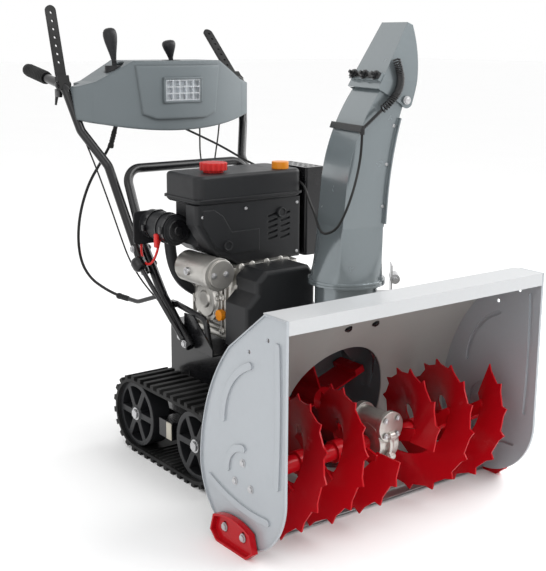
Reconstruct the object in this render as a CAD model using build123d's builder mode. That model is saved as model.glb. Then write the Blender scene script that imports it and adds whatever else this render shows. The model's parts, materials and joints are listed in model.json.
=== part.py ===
"""Tracked two-stage snow blower, built piece by piece in one shared frame.

Millimetres; +X is forward, +Y the machine's left, +Z up, and the ground is Z = 0.
"""
import os
from math import cos, pi, radians, sin

from build123d import *

# Bucket and its sheet metal
bucket_front_x = 664.0
bucket_width = 760.0
bucket_top_z = 545.0
sheet = 3.0
plate_lip = 4.0
rail_depth = 72.0
rail_front_height = 30.0
scraper_depth = 50.0
shell_front_setback = 28.0
scraper_thickness = 6.0
cutter_hole_radius = 4.5
cutter_hole_places = ((600.0, 492.0), (535.0, 453.0))
bead_width = 16.0
shoe_length = 160.0
shoe_height = 74.0
shoe_thickness = 5.0
shoe_foot_width = 10.0

# Auger, gearbox and impeller
auger_setback = 150.0
auger_axis_z = 170.0
auger_tip_radius = 150.0
auger_root_radius = 136.0
auger_ribbon_inner = 60.0
auger_ribbon_thickness = 4.0
auger_outer_margin = 56.0
auger_teeth_per_turn = 15
auger_teeth = 18
auger_sleeve_radius = 20.0
auger_shaft_radius = 12.5
auger_inner_end = 52.0
auger_clearance = 7.0
auger_collar_shares = (0.321, 0.602)
bearing_radius = 41.0
bearing_length = 20.0
running_gap = 1.0
gearbox_rise = 45.0
gearbox_wheel_radius = 46.0
gearbox_width = 58.0
drum_radius = 155.0
drum_rear_x = 224.0
impeller_radius = 144.0
impeller_depth = 86.0
impeller_blades = 4
impeller_hub_radius = 30.0
impeller_shaft_radius = 10.0

# Chute and deflector
chute_x = 304.0
chute_y = 80.0
chute_heading = 78.0
neck_radius = 77.0
neck_flange_radius = 95.0
neck_top_z = 503.0
flange_thickness = 6.0
swivel_gap = 0.5
chute_half_width = 65.0
chute_collar_radius = 90.0
skirt_top_z = 640.0
duct_back_u = -49.0
duct_front_u = 64.0
flange_width = 10.0
deflector_gap = 5.0
hood_taper_z = 985.0
hood_top_half = 58.0
deflector_pivot = (117.0, 956.0)

# Chassis, tracks and axles
tub_rear_x = -184.0
tub_half_width = 126.0
tub_bottom_z = 62.0
tub_top_z = 330.0
tub_sheet = 4.0
bracket_x = 40.0
bracket_z = 304.0
bracket_length = 130.0
track_outer_y = 284.0
track_width = 126.0
track_rear_x = -123.0
track_front_x = 164.0
belt_radius = 95.0
belt_thickness = 8.0
lug_height = 10.0
lug_count = 36
lug_length = 14.0
wheel_gap = 0.3
wheel_width = 52.0
wheel_inset = 10.0
wheel_rim = 13.0
wheel_spokes = 6
axle_radius = 12.5

# Engine
engine_front_x = 104.0
engine_rear_x = -82.0
engine_right_y = -118.0
engine_left_y = 100.0
engine_foot_height = 22.0
crankcase_top_z = 516.0
shroud_front_x = 64.0
shroud_rear_x = -85.0
shroud_right_y = -200.0
shroud_left_y = 127.0
shroud_narrow_y = -166.0
shroud_step_x = 16.0
tank_bottom_z = 677.0
tank_top_z = 750.0
tank_overhang = 6.0
fuel_cap_place = (9.0, -113.0)
tank_cap_place = (38.0, 76.0)
starter_radius = 40.0
starter_z = 508.0
recoil_radius = 78.0
recoil_z = 433.0
guard_gap = 14.0
guard_depth = 64.0
guard_sheet = 2.5
control_radius = 38.0
control_place = (-205.0, 607.0)
control_front_x = -20.0
control_rear_x = -141.0
belt_cover_top_z = 525.0

# Handles and dashboard
tube_radius = 12.5
tube_wall = 2.0
brace_radius = 8.0
lower_handle_y = 196.0
crossbar_x = -294.0
crossbar_z = 733.0
grip_clearance = 10.0
grip_front_x = -440.0
grip_front_z = 950.0
grip_end_x = -668.0
grip_end_z = 986.0
grip_radius = 17.0
grip_length = 118.0
lever_length = 205.0
lever_width = 30.0
lever_holes = 7
panel_half_width = 284.0
panel_end_x = -396.0
panel_nose_x = -316.0
panel_rear_x = -462.0
panel_wall = 4.0
panel_end_block = 40.0
panel_low_z = 827.0
panel_end_low_z = 862.0
panel_wing_z = 948.0
panel_shoulder = 236.0
panel_hump_z = 1017.0
panel_hump_half = 140.0
lamp_width = 118.0
lamp_height = 63.0
lamp_z = 938.0
stick_x = -386.0
stick_low_z = 850.0
stick_boot_radius = 26.0
cable_radius = 4.0
chute_cable_radius = 3.0

# Values that follow from the sizes above
auger_x = bucket_front_x - auger_setback
shell_inner = auger_tip_radius + auger_clearance
shell_outer = shell_inner + sheet
shell_bottom_z = auger_axis_z - shell_outer
plate_inner_y = bucket_width / 2 - sheet
shell_back_x = auger_x - shell_outer
impeller_z = auger_axis_z + gearbox_rise
drum_inner = drum_radius - sheet
track_z = belt_radius + lug_height
track_inner_y = track_outer_y - track_width
wheel_radius = belt_radius - belt_thickness - wheel_gap
hub_radius = axle_radius + 12.0
upper_handle_y = lower_handle_y + 2 * tube_radius
grip_y = panel_half_width + grip_clearance
auger_lead = (plate_inner_y - auger_outer_margin - auger_inner_end) * auger_teeth_per_turn / auger_teeth
auger_collars = [share * plate_inner_y for share in auger_collar_shares]

os.makedirs("parts", exist_ok=True)

# Outline of the bucket seen from the side, used by the plates, the shell and the drum
front_top = (bucket_front_x, bucket_top_z)
front_low = (bucket_front_x, auger_axis_z)
corner_mid = (auger_x + auger_setback * cos(radians(45)), auger_axis_z - shell_outer * sin(radians(45)))
bottom_mid = (auger_x, shell_bottom_z)
lower_mid = (auger_x - shell_outer * cos(radians(45)), auger_axis_z - shell_outer * sin(radians(45)))
back_mid = (shell_back_x, auger_axis_z)
shell_lip_z = auger_axis_z - (shell_outer**2 - shell_front_setback**2) ** 0.5
shell_lip = (auger_x - shell_front_setback, shell_lip_z)
upper_mid = (bucket_front_x - 262.0, 356.0)
knee = (bucket_front_x - 197.0, 450.0)
apex = (bucket_front_x - rail_depth, bucket_top_z)

# Pressed beads of the side plates: start, middle and end of each one's arc
plate_beads = (
    ((bucket_front_x - 124, 424), (bucket_front_x - 192, 372), (bucket_front_x - 222, 284)),
    ((bucket_front_x - 30, 486), (bucket_front_x - 26, 340), (bucket_front_x - 30, 190)),
    ((bucket_front_x - 272, 132), (bucket_front_x - 176, 104), (bucket_front_x - 62, 100)),
    ((bucket_front_x - 206, 176), (bucket_front_x - 194, 212), (bucket_front_x - 148, 236)),
)

with BuildSketch(Plane.XZ) as bucket_outline:
    with BuildLine():
        Line(front_top, front_low)
        ThreePointArc(front_low, corner_mid, bottom_mid)
        ThreePointArc(bottom_mid, lower_mid, back_mid)
        ThreePointArc(back_mid, upper_mid, knee)
        Line(knee, apex)
        Line(apex, front_top)
    make_face()

# Side plates with a lip turned outward and a raised bead
for side, node in ((-1, "side_plate_right"), (1, "side_plate_left")):
    with BuildPart() as side_plate:
        with BuildSketch(Plane.XZ.offset(-side * plate_inner_y)) as plate_face:
            add(bucket_outline.sketch)
        extrude(amount=-side * sheet)
        with BuildSketch(Plane.XZ.offset(-side * (plate_inner_y + sheet))) as lip_face:
            add(bucket_outline.sketch)
            offset(amount=-sheet, mode=Mode.SUBTRACT)
        extrude(amount=-side * plate_lip)
        for grow, depth, mode in ((0.0, sheet + plate_lip, Mode.ADD), (-2 * sheet, plate_lip, Mode.SUBTRACT)):
            with BuildSketch(Plane.XZ.offset(-side * plate_inner_y)) as bead_face:
                for bead_start, bead_mid, bead_end in plate_beads:
                    with BuildLine():
                        ThreePointArc(bead_start, bead_mid, bead_end)
                    trace(line_width=bead_width + grow)
                    with Locations(bead_start, bead_end):
                        Circle((bead_width + grow) / 2)
            extrude(amount=-side * depth, mode=mode)
        with BuildSketch(Plane.XZ) as cutter_holes:
            with Locations(*cutter_hole_places):
                Circle(cutter_hole_radius)
        extrude(amount=-side * bucket_width, mode=Mode.SUBTRACT)
    side_plate.part.label = node
    export_step(side_plate.part, "parts/" + node + ".step")

# Curved shell between the plates, open toward the drum
with BuildPart() as bucket_shell:
    with BuildSketch(Plane.XZ) as shell_face:
        with BuildLine():
            ThreePointArc(shell_lip, lower_mid, back_mid)
            ThreePointArc(back_mid, upper_mid, knee)
            Line(knee, apex)
            offset(amount=sheet, side=Side.RIGHT)
        make_face()
    extrude(amount=plate_inner_y, both=True)
    with Locations((bucket_front_x, 0, bucket_top_z - sheet)):
        Box(4 * rail_depth, bucket_width, 100, align=(Align.CENTER, Align.CENTER, Align.MIN), mode=Mode.SUBTRACT)
    with BuildSketch(Plane.YZ.offset(shell_back_x - 20)) as drum_mouth:
        with Locations((0, impeller_z)):
            Circle(drum_inner)
    extrude(amount=110, mode=Mode.SUBTRACT)
bucket_shell.part.label = "bucket_shell"
export_step(bucket_shell.part, "parts/bucket_shell.step")

# Folded rail along the top of the bucket
with BuildPart() as top_rail:
    with BuildSketch(Plane.XZ) as rail_face:
        with BuildLine():
            Polyline(
                (bucket_front_x - rail_depth - 12, bucket_top_z),
                (bucket_front_x, bucket_top_z),
                (bucket_front_x, bucket_top_z - rail_front_height),
            )
            offset(amount=sheet, side=Side.RIGHT)
        make_face()
    extrude(amount=plate_inner_y, both=True)
top_rail.part.label = "top_rail"
export_step(top_rail.part, "parts/top_rail.step")

# Scraper bar bolted under the shell's front edge
with BuildPart() as scraper_bar:
    with BuildSketch(Plane.XZ) as scraper_face:
        with BuildLine():
            ThreePointArc(
                (auger_x, shell_bottom_z),
                (auger_x - 0.5 * scraper_depth, auger_axis_z - (shell_outer**2 - (0.5 * scraper_depth) ** 2) ** 0.5),
                (auger_x - scraper_depth, auger_axis_z - (shell_outer**2 - scraper_depth**2) ** 0.5),
            )
            Polyline(
                (auger_x - scraper_depth, auger_axis_z - (shell_outer**2 - scraper_depth**2) ** 0.5),
                (auger_x - scraper_depth, shell_bottom_z - scraper_thickness),
                (auger_x, shell_bottom_z - scraper_thickness),
                (auger_x, shell_bottom_z),
            )
        make_face()
    extrude(amount=plate_inner_y, both=True)
    with BuildSketch(Plane.XZ) as blade_bevel:
        with BuildLine():
            Polyline(
                (auger_x, shell_bottom_z),
                (auger_x - 0.5 * scraper_depth, shell_bottom_z),
                (auger_x, shell_bottom_z - 0.7 * scraper_thickness),
                close=True,
            )
        make_face()
    extrude(amount=bucket_width, both=True, mode=Mode.SUBTRACT)
scraper_bar.part.label = "scraper_bar"
export_step(scraper_bar.part, "parts/scraper_bar.step")

# Skid shoes, flanged plates with two slots for their bolts
shoe_x = auger_x - 20
shoe_half = shoe_length / 2
with BuildPart() as skid_shoes:
    for side in (-1, 1):
        web_y = bucket_width / 2 + plate_lip
        with BuildSketch(Plane.XZ.offset(-side * web_y)) as shoe_web:
            with BuildLine():
                Polyline(
                    (shoe_x - shoe_half, 20),
                    (shoe_x - shoe_half + 24, 0),
                    (shoe_x + shoe_half - 24, 0),
                    (shoe_x + shoe_half, 20),
                    (shoe_x + shoe_half - 12, shoe_height - 14),
                )
                ThreePointArc(
                    (shoe_x + shoe_half - 12, shoe_height - 14),
                    (shoe_x, shoe_height),
                    (shoe_x - shoe_half + 12, shoe_height - 14),
                )
                Line((shoe_x - shoe_half + 12, shoe_height - 14), (shoe_x - shoe_half, 20))
            make_face()
        extrude(amount=-side * shoe_thickness)
        with BuildSketch(Plane.XZ.offset(-side * (web_y + shoe_thickness))) as shoe_rim:
            add(shoe_web.sketch)
            offset(amount=-shoe_thickness, mode=Mode.SUBTRACT)
        extrude(amount=-side * shoe_foot_width)
        with BuildSketch(Plane.XZ.offset(-side * web_y)) as shoe_slots:
            with Locations((shoe_x - 34, 40), (shoe_x + 34, 40)):
                SlotOverall(26, 11, rotation=90)
        extrude(amount=-side * shoe_thickness, mode=Mode.SUBTRACT)
skid_shoes.part.label = "skid_shoes"
export_step(skid_shoes.part, "parts/skid_shoes.step")

# Impeller drum with its tangential neck and flange
with BuildPart() as impeller_drum:
    with BuildSketch(Plane.YZ.offset(drum_rear_x)) as drum_disc:
        with Locations((0, impeller_z)):
            Circle(drum_radius)
    extrude(amount=shell_back_x + 110 - drum_rear_x)
    with BuildSketch(Plane.XY.offset(impeller_z)) as neck_disc:
        with Locations((chute_x, chute_y)):
            Circle(neck_radius)
    extrude(amount=neck_top_z - impeller_z)
    with BuildSketch(Plane.XY.offset(neck_top_z - flange_thickness)) as flange_disc:
        with Locations((chute_x, chute_y)):
            Circle(neck_flange_radius)
    extrude(amount=flange_thickness)
    with BuildSketch(Plane.YZ.offset(drum_rear_x + sheet)) as drum_room:
        with Locations((0, impeller_z)):
            Circle(drum_inner)
    extrude(amount=bucket_front_x - drum_rear_x, mode=Mode.SUBTRACT)
    with BuildSketch(Plane.XY.offset(impeller_z)) as neck_room:
        with Locations((chute_x, chute_y)):
            Circle(neck_radius - sheet)
    extrude(amount=neck_top_z - impeller_z, mode=Mode.SUBTRACT)
    with BuildSketch(Plane.XZ) as bucket_room:
        add(bucket_outline.sketch)
        offset(amount=wheel_gap)
    extrude(amount=bucket_width, both=True, mode=Mode.SUBTRACT)
    with BuildSketch(Plane.YZ.offset(drum_rear_x)) as shaft_hole:
        with Locations((0, impeller_z)):
            Circle(impeller_shaft_radius + running_gap)
    extrude(amount=sheet, mode=Mode.SUBTRACT)
impeller_drum.part.label = "impeller_drum"
export_step(impeller_drum.part, "parts/impeller_drum.step")

# Bearings of the auger on the inside of each plate
with BuildPart() as auger_bearings:
    for side in (-1, 1):
        with BuildSketch(Plane.XZ.offset(-side * (plate_inner_y - bearing_length))) as bearing_face:
            with Locations((auger_x, auger_axis_z)):
                Circle(bearing_radius)
                Circle(auger_shaft_radius + running_gap, mode=Mode.SUBTRACT)
        extrude(amount=-side * bearing_length)
auger_bearings.part.label = "auger_bearings"
export_step(auger_bearings.part, "parts/auger_bearings.step")

# Cast worm gearbox in the middle of the auger
worm_rear_x = auger_x - 62
worm_front_x = auger_x + 50
with BuildPart() as auger_gearbox:
    with BuildSketch(Plane.XZ) as wheel_case:
        with Locations((auger_x, auger_axis_z)):
            Circle(gearbox_wheel_radius)
    extrude(amount=gearbox_width / 2, both=True)
    with BuildSketch(Plane.XZ) as wheel_seam:
        with Locations((auger_x, auger_axis_z)):
            Circle(gearbox_wheel_radius + 7)
    extrude(amount=5, both=True)
    # Worm case along X: start, length and radius of each step
    for step_x, step_length, step_radius in (
        (worm_rear_x, 112, 28),
        (worm_rear_x + 6, 14, 34),
        (worm_front_x - 12, 12, 36),
    ):
        with BuildSketch(Plane.YZ.offset(step_x)) as worm_case:
            with Locations((0, impeller_z)):
                Circle(step_radius)
        extrude(amount=step_length)
    with BuildSketch(Plane.XZ) as wheel_bore:
        with Locations((auger_x, auger_axis_z)):
            Circle(auger_shaft_radius + running_gap)
    extrude(amount=gearbox_width, both=True, mode=Mode.SUBTRACT)
    with BuildSketch(Plane.YZ.offset(worm_rear_x)) as worm_bore:
        with Locations((0, impeller_z)):
            Circle(impeller_shaft_radius + running_gap)
    extrude(amount=40, mode=Mode.SUBTRACT)
auger_gearbox.part.label = "auger_gearbox"
export_step(auger_gearbox.part, "parts/auger_gearbox.step")

# Auger shaft with the sleeves that carry the ribbons
with BuildPart() as auger_shaft:
    with BuildSketch(Plane.XZ) as shaft_face:
        with Locations((auger_x, auger_axis_z)):
            Circle(auger_shaft_radius)
    extrude(amount=plate_inner_y - auger_clearance, both=True)
    for side in (-1, 1):
        with BuildSketch(Plane.XZ.offset(-side * (gearbox_width / 2 + auger_clearance))) as sleeve_face:
            with Locations((auger_x, auger_axis_z)):
                Circle(auger_sleeve_radius)
        extrude(amount=-side * (plate_inner_y - bearing_length - gearbox_width / 2 - 2 * auger_clearance))
        for collar_y in auger_collars:
            with BuildSketch(Plane.XZ.offset(-side * (collar_y - 13))) as collar_face:
                with Locations((auger_x, auger_axis_z)):
                    Circle(auger_sleeve_radius + 6)
                    Circle(auger_shaft_radius, mode=Mode.SUBTRACT)
            extrude(amount=-side * 26)
auger_shaft.part.label = "auger_shaft"
export_step(auger_shaft.part, "parts/auger_shaft.step")

# Serrated ribbons, two to a side, with spokes down to the sleeve
tooth_turn = 360.0 / auger_teeth_per_turn
tooth_profile = ((0.0, auger_root_radius), (0.6, auger_root_radius + 3), (0.86, auger_tip_radius))  # share of turn, radius
for side, node in ((-1, "auger_flights_right"), (1, "auger_flights_left")):
    with BuildPart() as auger_flights:
        for start in (0.0, 180.0):
            with BuildPart(mode=Mode.PRIVATE) as ribbon:
                for tooth in range(auger_teeth):
                    for share, tip in tooth_profile:
                        turn = (tooth + share) * tooth_turn
                        angle = radians(start + side * turn)
                        station = Plane(
                            origin=(auger_x, side * (auger_inner_end + auger_lead * turn / 360), auger_axis_z),
                            x_dir=(cos(angle), 0, sin(angle)),
                            z_dir=(-sin(angle), 0, cos(angle)),
                        )
                        with BuildSketch(station):
                            with Locations(((auger_ribbon_inner + tip) / 2, 0)):
                                Rectangle(tip - auger_ribbon_inner, auger_ribbon_thickness)
                loft(ruled=True)
            add(ribbon.part)
            for tooth in (0.6, auger_teeth / 2, auger_teeth - 1.6):
                turn = tooth * tooth_turn
                angle = radians(start + side * turn)
                spoke_at = Plane(
                    origin=(auger_x, side * (auger_inner_end + auger_lead * turn / 360), auger_axis_z),
                    x_dir=(cos(angle), 0, sin(angle)),
                    z_dir=(-sin(angle), 0, cos(angle)),
                )
                with BuildSketch(spoke_at):
                    with Locations(((auger_sleeve_radius + auger_ribbon_inner) / 2 + 2, 0)):
                        Rectangle(auger_ribbon_inner - auger_sleeve_radius + 16, 6)
                extrude(amount=15, both=True)
        with BuildSketch(Plane.XZ) as sleeve_room:
            with Locations((auger_x, auger_axis_z)):
                Circle(auger_sleeve_radius)
        extrude(amount=bucket_width, both=True, mode=Mode.SUBTRACT)
        for collar_y in auger_collars:
            with BuildSketch(Plane.XZ.offset(-side * (collar_y - 13))) as collar_room:
                with Locations((auger_x, auger_axis_z)):
                    Circle(auger_sleeve_radius + 6)
            extrude(amount=-side * 26, mode=Mode.SUBTRACT)
    auger_flights.part.label = node
    export_step(auger_flights.part, "parts/" + node + ".step")

# Impeller with its shaft
impeller_mid_x = drum_rear_x + sheet + auger_clearance + impeller_depth / 2
with BuildPart() as impeller:
    with BuildSketch(Plane.YZ.offset(drum_rear_x + sheet + auger_clearance)) as hub_face:
        with Locations((0, impeller_z)):
            Circle(impeller_hub_radius)
    extrude(amount=impeller_depth)
    for blade in range(impeller_blades):
        lean = Plane((impeller_mid_x, 0, impeller_z)).rotated((blade * 360 / impeller_blades + 20, 0, 0))
        with Locations(lean):
            Box(impeller_depth, impeller_radius - 2, 4, align=(Align.CENTER, Align.MIN, Align.CENTER))
            with Locations((0, impeller_radius - 30, 0)):
                Box(impeller_depth, 28, 16, align=(Align.CENTER, Align.MIN, Align.MIN))
    with BuildSketch(Plane.YZ.offset(drum_rear_x - 16)) as shaft_face:
        with Locations((0, impeller_z)):
            Circle(impeller_shaft_radius)
    extrude(amount=worm_rear_x + 34 - drum_rear_x + 16)
impeller.part.label = "impeller"
export_step(impeller.part, "parts/impeller.step")

# Chute duct on its swivel ring, drawn in the plane of its curve
chute_plane = Plane(
    origin=(chute_x, chute_y, 0),
    x_dir=(cos(radians(chute_heading)), sin(radians(chute_heading)), 0),
    z_dir=(sin(radians(chute_heading)), -cos(radians(chute_heading)), 0),
)
skirt_plane = Plane(
    origin=(chute_x, chute_y, 0),
    x_dir=(cos(radians(chute_heading)), sin(radians(chute_heading)), 0),
    z_dir=(0, 0, 1),
)
ring_z = neck_top_z + swivel_gap
skirt_low_z = ring_z + flange_thickness
skirt_middle = (duct_front_u + duct_back_u) / 2
with BuildPart() as chute_duct:
    with BuildSketch(chute_plane) as duct_face:
        with BuildLine():
            Line((duct_back_u, skirt_top_z), (-42, 715))
            ThreePointArc((-42, 715), (-8, 870), (52, 975))
            Line((52, 975), (112, 944))
            ThreePointArc((112, 944), (88, 862), (68, 715))
            Polyline((68, 715), (duct_front_u, skirt_top_z), (duct_back_u, skirt_top_z))
        make_face()
    extrude(amount=chute_half_width, both=True)
    with BuildSketch(Plane.XY.offset(ring_z)) as ring_disc:
        with Locations((chute_x, chute_y)):
            Circle(neck_flange_radius)
    extrude(amount=flange_thickness)
    # Skirt from the round ring up to the duct's four walls
    for inset, mode in ((0.0, Mode.ADD), (sheet, Mode.SUBTRACT)):
        with BuildPart(mode=mode) as skirt:
            with BuildSketch(skirt_plane.offset(skirt_low_z)):
                Circle(chute_collar_radius - inset)
            with BuildSketch(skirt_plane.offset(skirt_top_z)):
                with Locations((skirt_middle, 0)):
                    RectangleRounded(
                        duct_front_u - duct_back_u - 2 * inset,
                        2 * (chute_half_width - inset),
                        4,
                    )
            loft()
    with BuildSketch(chute_plane) as front_flange:
        with BuildLine():
            Line((64.5, 648), (68, 715))
            ThreePointArc((68, 715), (80, 815), (98, 898))
            Line((98, 898), (98 - sheet, 899))
            ThreePointArc((98 - sheet, 899), (80 - sheet, 815), (68 - sheet, 715))
            Polyline((68 - sheet, 715), (64.5 - sheet, 648), (64.5, 648))
        make_face()
    extrude(amount=chute_half_width + flange_width, both=True)
    with BuildSketch(chute_plane) as duct_room:
        with BuildLine():
            Line((duct_back_u + sheet, skirt_top_z), (-42 + sheet, 715))
            ThreePointArc((-42 + sheet, 715), (-8 + sheet, 870), (52 + sheet, 975 - 1))
            Polyline((52 + sheet, 974), (62, 995), (125, 963), (112 - sheet, 944))
            ThreePointArc((112 - sheet, 944), (88 - sheet, 862), (68 - sheet, 715))
            Polyline(
                (68 - sheet, 715),
                (duct_front_u - sheet, skirt_top_z),
                (duct_back_u + sheet, skirt_top_z),
            )
        make_face()
    extrude(amount=chute_half_width - sheet, both=True, mode=Mode.SUBTRACT)
    with BuildSketch(Plane.XY.offset(ring_z)) as collar_room:
        with Locations((chute_x, chute_y)):
            Circle(neck_radius - sheet)
    extrude(amount=flange_thickness, mode=Mode.SUBTRACT)
chute_duct.part.label = "chute_duct"
export_step(chute_duct.part, "parts/chute_duct.step")

# Pivot pins that carry the deflector
with BuildPart() as deflector_pins:
    for side in (-1, 1):
        with BuildSketch(chute_plane.offset(side * chute_half_width)) as pin_face:
            with Locations((deflector_pivot[0] - 8, deflector_pivot[1] - 16)):
                Circle(5)
        extrude(amount=side * (deflector_gap + sheet + 6))
deflector_pins.part.label = "deflector_pins"
export_step(deflector_pins.part, "parts/deflector_pins.step")

# Deflector hood, a back wall with two cheeks outside the duct
hood_pivot = (deflector_pivot[0] - 8, deflector_pivot[1] - 16)
hood_half = chute_half_width + deflector_gap + sheet
hood_front_plane = Plane(
    origin=(chute_x, chute_y, 0),
    x_dir=(sin(radians(chute_heading)), -cos(radians(chute_heading)), 0),
    z_dir=(-cos(radians(chute_heading)), -sin(radians(chute_heading)), 0),
)
hood_outline = ((98, 930), (33, 968), (116, 1119), (130, 1113))
hood_inside = ((30, 930), (36.5, 968), (116, 1112.6), (210, 1060), (210, 850), (60, 850))
with BuildPart() as deflector_hood:
    for inset, mode in ((0.0, Mode.ADD), (sheet, Mode.SUBTRACT)):
        with BuildPart(mode=mode) as hood_block:
            with BuildSketch(chute_plane) as hood_face:
                with BuildLine():
                    if inset == 0:
                        Polyline(*hood_outline)
                        ThreePointArc((130, 1113), (142, 1028), (127, 935))
                        ThreePointArc((127, 935), (110, 921), (98, 930))
                    else:
                        Polyline(*hood_inside, close=True)
                make_face()
            extrude(amount=hood_half - inset, both=True)
            with BuildSketch(hood_front_plane) as hood_taper:
                with BuildLine():
                    Polyline(
                        (hood_half - inset, 800),
                        (hood_half - inset, hood_taper_z),
                        (hood_top_half - inset, 1125),
                        (inset - hood_top_half, 1125),
                        (inset - hood_half, hood_taper_z),
                        (inset - hood_half, 800),
                        close=True,
                    )
                make_face()
            extrude(amount=400, both=True, mode=Mode.INTERSECT)
    with BuildSketch(chute_plane) as pin_holes:
        with Locations(hood_pivot):
            Circle(5 + running_gap)
    extrude(amount=hood_half + 10, both=True, mode=Mode.SUBTRACT)
    # Clamp bar across the back of the hood with its two nuts
    with BuildSketch(chute_plane) as clamp_bar:
        with Locations(Location((42.8, 994.4, 0), (0, 0, 61.2))):
            Rectangle(22, 9)
    extrude(amount=hood_half - 3, both=True)
deflector_hood.part.label = "deflector_hood"
export_step(deflector_hood.part, "parts/deflector_hood.step")

# Spring between the hood's cheek and the cable, on the outside of the cheek
spring_s = hood_half + 9
with BuildPart() as deflector_spring:
    with BuildLine() as spring_path:
        ThreePointArc(
            chute_plane.from_local_coords((74, 1036, spring_s)),
            chute_plane.from_local_coords((88, 978, spring_s)),
            chute_plane.from_local_coords((40, 920, spring_s)),
        )
    with BuildSketch(spring_path.line ^ 0):
        Circle(8)
    sweep()
    with BuildSketch(chute_plane.offset(hood_top_half)) as spring_stud:
        with Locations((74, 1034)):
            Circle(5)
    extrude(amount=spring_s - hood_top_half)
    add(deflector_hood.part, mode=Mode.SUBTRACT)
    with BuildSketch(chute_plane) as hood_hollow:
        with Locations((74, 1034)):
            Circle(8)
    extrude(amount=hood_top_half + 8, mode=Mode.SUBTRACT)
deflector_spring.part.label = "deflector_spring"
export_step(deflector_spring.part, "parts/deflector_spring.step")

# Cable bracket on the duct with the rod up to the spring
with BuildPart() as cable_bracket:
    with BuildSketch(chute_plane.offset(-chute_half_width)) as bracket_bar:
        with Locations(Location((-13.2, 876, 0), (0, 0, 70))):
            Rectangle(16, 8)
    extrude(amount=2 * chute_half_width + 22)
    with BuildLine() as rod_path:
        Line(
            chute_plane.from_local_coords((-12, 876, spring_s)),
            chute_plane.from_local_coords((39.4, 919.4, spring_s)),
        )
    with BuildSketch(rod_path.line ^ 0):
        Circle(4)
    sweep()
    with BuildSketch(Plane(chute_plane.from_local_coords((-12, 864, spring_s)), z_dir=(0, 0, 1))) as bracket_ferrule:
        Circle(6)
    extrude(amount=14)
    add(deflector_spring.part, mode=Mode.SUBTRACT)
cable_bracket.part.label = "cable_bracket"
export_step(cable_bracket.part, "parts/cable_bracket.step")

# Worm drive that turns the chute, on an arm from the neck
drive_angle = radians(52)
drive_reach = neck_flange_radius + 13
drive_at = Plane(
    origin=(chute_x, chute_y, neck_top_z - 34),
    x_dir=(cos(drive_angle), sin(drive_angle), 0),
    z_dir=(0, 0, 1),
)
with BuildPart() as chute_drive:
    with Locations(drive_at):
        with Locations((neck_radius - 2, 0, 0)):
            Box(drive_reach - neck_radius + 18, 48, sheet, align=(Align.MIN, Align.CENTER, Align.MIN))
        with Locations((drive_reach, 0, 0)):
            Box(sheet, 48, 74, align=(Align.MIN, Align.CENTER, Align.MIN))
        with Locations((drive_reach + sheet + 7, 0, 40)):
            Cylinder(12, 44, rotation=(90, 0, 0))
            Cylinder(6, 70, rotation=(90, 0, 0))
        with Locations((drive_reach + sheet, 0, 40)):
            Box(8, 20, 20, align=(Align.MIN, Align.CENTER, Align.CENTER))
    with BuildSketch(Plane.XY.offset(impeller_z)) as neck_clear:
        with Locations((chute_x, chute_y)):
            Circle(neck_radius)
    extrude(amount=neck_top_z - impeller_z, mode=Mode.SUBTRACT)
chute_drive.part.label = "chute_drive"
export_step(chute_drive.part, "parts/chute_drive.step")

# Chassis tub, open below
with BuildPart() as chassis_tub:
    with Locations(((tub_rear_x + drum_rear_x) / 2, 0, tub_bottom_z)):
        Box(
            drum_rear_x - tub_rear_x,
            2 * tub_half_width,
            tub_top_z - tub_bottom_z,
            align=(Align.CENTER, Align.CENTER, Align.MIN),
        )
    with Locations(((tub_rear_x + drum_rear_x) / 2, 0, tub_bottom_z)):
        Box(
            drum_rear_x - tub_rear_x - 2 * tub_sheet,
            2 * tub_half_width - 2 * tub_sheet,
            tub_top_z - tub_bottom_z - tub_sheet,
            align=(Align.CENTER, Align.CENTER, Align.MIN),
            mode=Mode.SUBTRACT,
        )
    for side in (-1, 1):
        for hub_x in (track_rear_x, track_front_x):
            with BuildSketch(Plane.XZ) as axle_hole:
                with Locations((hub_x, track_z)):
                    Circle(axle_radius + wheel_gap)
            extrude(amount=-side * 2 * tub_half_width, mode=Mode.SUBTRACT)
    with BuildSketch(Plane.YZ.offset(drum_rear_x - tub_sheet)) as shaft_room:
        with Locations((0, impeller_z)):
            Circle(impeller_shaft_radius + 12)
    extrude(amount=tub_sheet, mode=Mode.SUBTRACT)
chassis_tub.part.label = "chassis_tub"
export_step(chassis_tub.part, "parts/chassis_tub.step")

# Brackets on the tub's sides for the feet of the handle
with BuildPart() as handle_brackets:
    for side in (-1, 1):
        with Locations((bracket_x, side * tub_half_width, bracket_z)):
            Box(
                bracket_length,
                lower_handle_y - tube_radius - tub_half_width,
                tub_sheet,
                align=(Align.CENTER, Align.MIN if side > 0 else Align.MAX, Align.MAX),
            )
        with BuildSketch(Plane.XZ.offset(-side * (lower_handle_y - tube_radius - tub_sheet))) as bracket_ear:
            with BuildLine():
                Polyline(
                    (bracket_x + bracket_length / 2, bracket_z - tub_sheet),
                    (bracket_x + bracket_length / 2, bracket_z + 14),
                    (bracket_x - 20, bracket_z + 84),
                    (bracket_x - bracket_length / 2, bracket_z + 84),
                    (bracket_x - bracket_length / 2, bracket_z - tub_sheet),
                    close=True,
                )
            make_face()
        extrude(amount=-side * tub_sheet)
handle_brackets.part.label = "handle_brackets"
export_step(handle_brackets.part, "parts/handle_brackets.step")

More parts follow.
